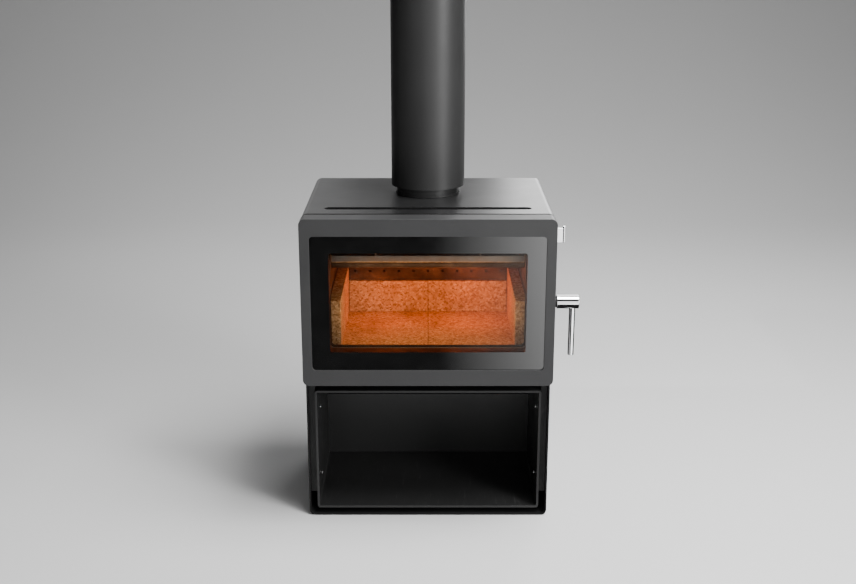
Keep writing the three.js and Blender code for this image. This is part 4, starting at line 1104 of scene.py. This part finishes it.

# %% [markdown]
# ## The studio
#
# A pale floor that curves up into pale walls gives a horizon with no line in it, whichever way
# the camera looks. The walls are made by extruding the edges of a plane and bevelling the folds.
# The paper's colour darkens a little as it climbs at the back: painted shade, standing in for the
# light falling off with distance.

# %% Floor and backdrop
FLOOR_HALF = 11.0
FLOOR_FRONT = -9.5
FOLD_Y = 6.5
WALL_HEIGHT = 7.0
FOLD_RADIUS = 3.5
FOLD_STEPS = 24
PAINTED_FALLOFF_STARTS = 3.0
PAINTED_FALLOFF_ENDS = 5.6
PAINTED_FALLOFF_DEPTH = 0.26
put_everything_down()
bpy.ops.mesh.primitive_plane_add(size=1.0, location=(0.0, (FLOOR_FRONT + FOLD_Y) / 2, 0.0))
floor = new_piece("studio_floor")
floor.scale = (2 * FLOOR_HALF, FOLD_Y - FLOOR_FRONT, 1.0)
settle(floor)
bpy.ops.object.mode_set(mode="EDIT")
bpy.ops.mesh.select_mode(type="EDGE")
bpy.ops.mesh.select_all(action="SELECT")
bpy.ops.mesh.extrude_edges_move(TRANSFORM_OT_translate={"value": (0.0, 0.0, WALL_HEIGHT)})
bpy.ops.object.mode_set(mode="OBJECT")
fold = floor.modifiers.new("fold", "BEVEL")
fold.width = FOLD_RADIUS
fold.segments = FOLD_STEPS
fold.limit_method = "ANGLE"
bpy.ops.object.modifier_apply(modifier=fold.name)
bpy.ops.object.shade_smooth()
floor_finish = Recipe("pale_studio_floor")
paper = floor_finish.ramp(
    floor_finish.noise(0.8, 2.0), (0.3, (0.60, 0.60, 0.60)), (0.7, (0.61, 0.61, 0.61))
)
# painted shade: the colour darkens towards the back, in place of the light falling off
painted_falloff = floor_finish.spread(
    floor_finish.height("Y"), PAINTED_FALLOFF_STARTS, PAINTED_FALLOFF_ENDS, 0.0, PAINTED_FALLOFF_DEPTH
)
floor_finish.colour(floor_finish.mix(painted_falloff, paper, (0.02, 0.02, 0.02)))
floor_finish.fixed(Roughness=0.6, Specular_IOR_Level=0.2)
floor.data.materials.append(floor_finish.material)
print("floor laid")

# %% [markdown]
# ## A card for the glass
#
# A mirror shows whatever stands in front of it. A card is laid out of sight, dark on one side
# and pale on the other, so that the glass fades from black to a soft sheen.

# %% Lay the card
CARD_PLACE = (0.0, -2.7, 0.004)
CARD_WIDTH = 3.6
CARD_DEPTH = 3.0
CARD_DARK_UNTIL = 0.05
CARD_PALE_FROM = 0.72
CARD_GLOW = 1.55
put_everything_down()
bpy.ops.mesh.primitive_plane_add(size=1.0, location=CARD_PLACE)
card = new_piece("reflector_card")
card.scale = (CARD_WIDTH, CARD_DEPTH, 1.0)
settle(card)
card_finish = Recipe("reflector_card")
across = card_finish.spread(card_finish.height("X"), CARD_DARK_UNTIL, CARD_PALE_FROM)
card_finish.colour(card_finish.ramp(across, (0.0, (0.010, 0.010, 0.010)), (1.0, (0.6, 0.6, 0.6))))
glow = card_finish.ramp(
    across, (0.0, (0.0, 0.0, 0.0)), (0.45, (0.35, 0.35, 0.35)), (1.0, (1.0, 1.0, 1.0))
)
card_finish.join(glow, card_finish.shader.inputs["Emission Color"])
card_finish.fixed(Emission_Strength=CARD_GLOW, Roughness=0.9, Specular_IOR_Level=0.0)
card.data.materials.append(card_finish.material)
card.visible_diffuse = False
card.visible_camera = False
card.visible_shadow = False
print("card laid")

# %% [markdown]
# ## Black flags
#
# Chrome and round black things lose their shape against a pale room unless something dark is
# near them. A tall flag at the left draws the dark edge of the flue. Two more lie out of sight,
# beside and below the handle, and draw the dark lines along its hub and rod.

# %% Set the flags
def black_flag(name, place, size, turn=(0.0, 0.0, 0.0)):
    put_everything_down()
    bpy.ops.mesh.primitive_plane_add(
        size=1.0, location=place, rotation=[math.radians(angle) for angle in turn]
    )
    flag = new_piece(name)
    flag.scale = (*size, 1.0)
    settle(flag)
    flag.data.materials.append(flock.material)
    flag.visible_shadow = False
    flag.visible_camera = False
    flag.visible_diffuse = False


flock = Recipe("black_flock")
flock.colour(flock.ramp(flock.noise(40.0), (0.3, (0.004, 0.004, 0.004)), (0.7, (0.008, 0.008, 0.008))))
flock.fixed(Roughness=1.0, Specular_IOR_Level=0.0)
black_flag("flag_left", (-2.6, 2.9, 2.0), (5.2, 4.0), (90.0, 0.0, 108.0))
black_flag("flag_under_handle", (0.83, -0.255, 0.005), (1.04, 2.01))
black_flag("flag_beside_handle", (2.05, 0.35, 0.006), (1.4, 2.6))
print("three flags stand round the stove")

# %% [markdown]
# ## Lights
#
# One wide light hangs overhead, and a tall one at the right draws the stripe down the flue. Two
# behind the stove lay the sheen across the top, two in front fill the paint, and one lights the
# backdrop. The fire is a group of warm lamps inside the firebox.

# %% Hang the lights
def softbox(name, place, target, width, height, power, spread=180):
    lamp = bpy.data.lights.new(name, "AREA")
    lamp.shape = "RECTANGLE"
    lamp.size = width
    lamp.size_y = height
    lamp.energy = power
    lamp.spread = math.radians(spread)
    stand = bpy.data.objects.new(name, lamp)
    bpy.context.scene.collection.objects.link(stand)
    stand.location = place
    stand.rotation_euler = (Vector(target) - Vector(place)).to_track_quat("-Z", "Y").to_euler()
    stand.visible_camera = False
    return stand


softbox("overhead", (1.25, -0.9, 3.8), (0.25, -0.7, 0.0), 2.4, 1.9, 350.0)
softbox("right_stripe", (2.75, -2.6, 1.7), (0.0, 0.0, 1.1), 1.15, 2.4, 165.0)
softbox("left_fill", (-2.4, -3.2, 1.8), (0.0, 0.0, 0.7), 0.7, 2.0, 8.0)
softbox("front_wall", (0.3, -4.6, 1.35), (0.1, 0.0, 0.5), 3.0, 1.6, 34.0)
softbox("sheen_right", (1.35, 3.4, 1.9), (0.3, 0.0, 0.85), 1.9, 2.0, 10.0, spread=60)
softbox("sheen_left", (-1.2, 3.4, 1.9), (-0.2, 0.0, 0.85), 1.6, 2.0, 0.6, spread=60)
softbox("backdrop_glow", (0.0, 2.2, 1.9), (0.0, 5.0, 0.1), 3.0, 0.9, 28.0)
print("studio lights hung:", len(bpy.data.lights))

# %% Light the fire
FIRE = (1.0, 0.15, 0.012)
FIRE_EDGE = (1.0, 0.50, 0.20)
FIRE_SOFTNESS = 0.05
brick_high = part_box("floor_brick_front_left")[1]
for number, (x, y, z, power) in enumerate(
    ((-0.12, 0.01, 0.09, 0.80), (0.12, 0.02, 0.09, 0.90), (0.0, 0.0, 0.13, 0.42)), 1
):
    lamp = bpy.data.lights.new(f"fire_{number}", "POINT")
    lamp.energy = power
    lamp.color = FIRE
    lamp.shadow_soft_size = FIRE_SOFTNESS
    flame = bpy.data.objects.new(f"fire_{number}", lamp)
    bpy.context.scene.collection.objects.link(flame)
    flame.location = (x, y, brick_high.z + z)
window_z = (glass_low.z + glass_high.z) / 2
fire_edge = softbox(
    "fire_edge", (0.0, door_high.y - 0.01, window_z), (0.0, 0.3, window_z - 0.04), 0.42, 0.16, 0.85
)
fire_edge.data.color = FIRE_EDGE
print("fire lit above", round(brick_high.z, 3))

# %% Room light
ROOM_TONE = (0.8, 0.8, 0.8, 1.0)
ROOM_STRENGTH = 0.05
world = bpy.data.worlds.new("room")
world.use_nodes = True
sky = world.node_tree.nodes["Background"]
sky.inputs["Color"].default_value = ROOM_TONE
sky.inputs["Strength"].default_value = ROOM_STRENGTH
bpy.context.scene.world = world
print("room light at", ROOM_STRENGTH)

# %% [markdown]
# ## The camera
#
# The camera stands straight in front, a little over three metres back and at head height,
# looking down at the stove with a slightly long lens.

# %% Place the camera
CAMERA_LENS = 51.35
SENSOR_WIDTH = 36.0
CAMERA_PITCH = 16.85
CAMERA_HEIGHT = 1.562
CAMERA_FROM_DOOR = 2.977
lens = bpy.data.cameras.new("camera")
lens.lens = CAMERA_LENS
lens.sensor_width = SENSOR_WIDTH
camera = bpy.data.objects.new("camera", lens)
camera.location = (0.0, door_low.y - CAMERA_FROM_DOOR, CAMERA_HEIGHT)
camera.rotation_euler = (math.radians(90.0 - CAMERA_PITCH), 0.0, 0.0)
bpy.context.scene.collection.objects.link(camera)
bpy.context.scene.camera = camera
print("camera at", [round(value, 3) for value in camera.location])
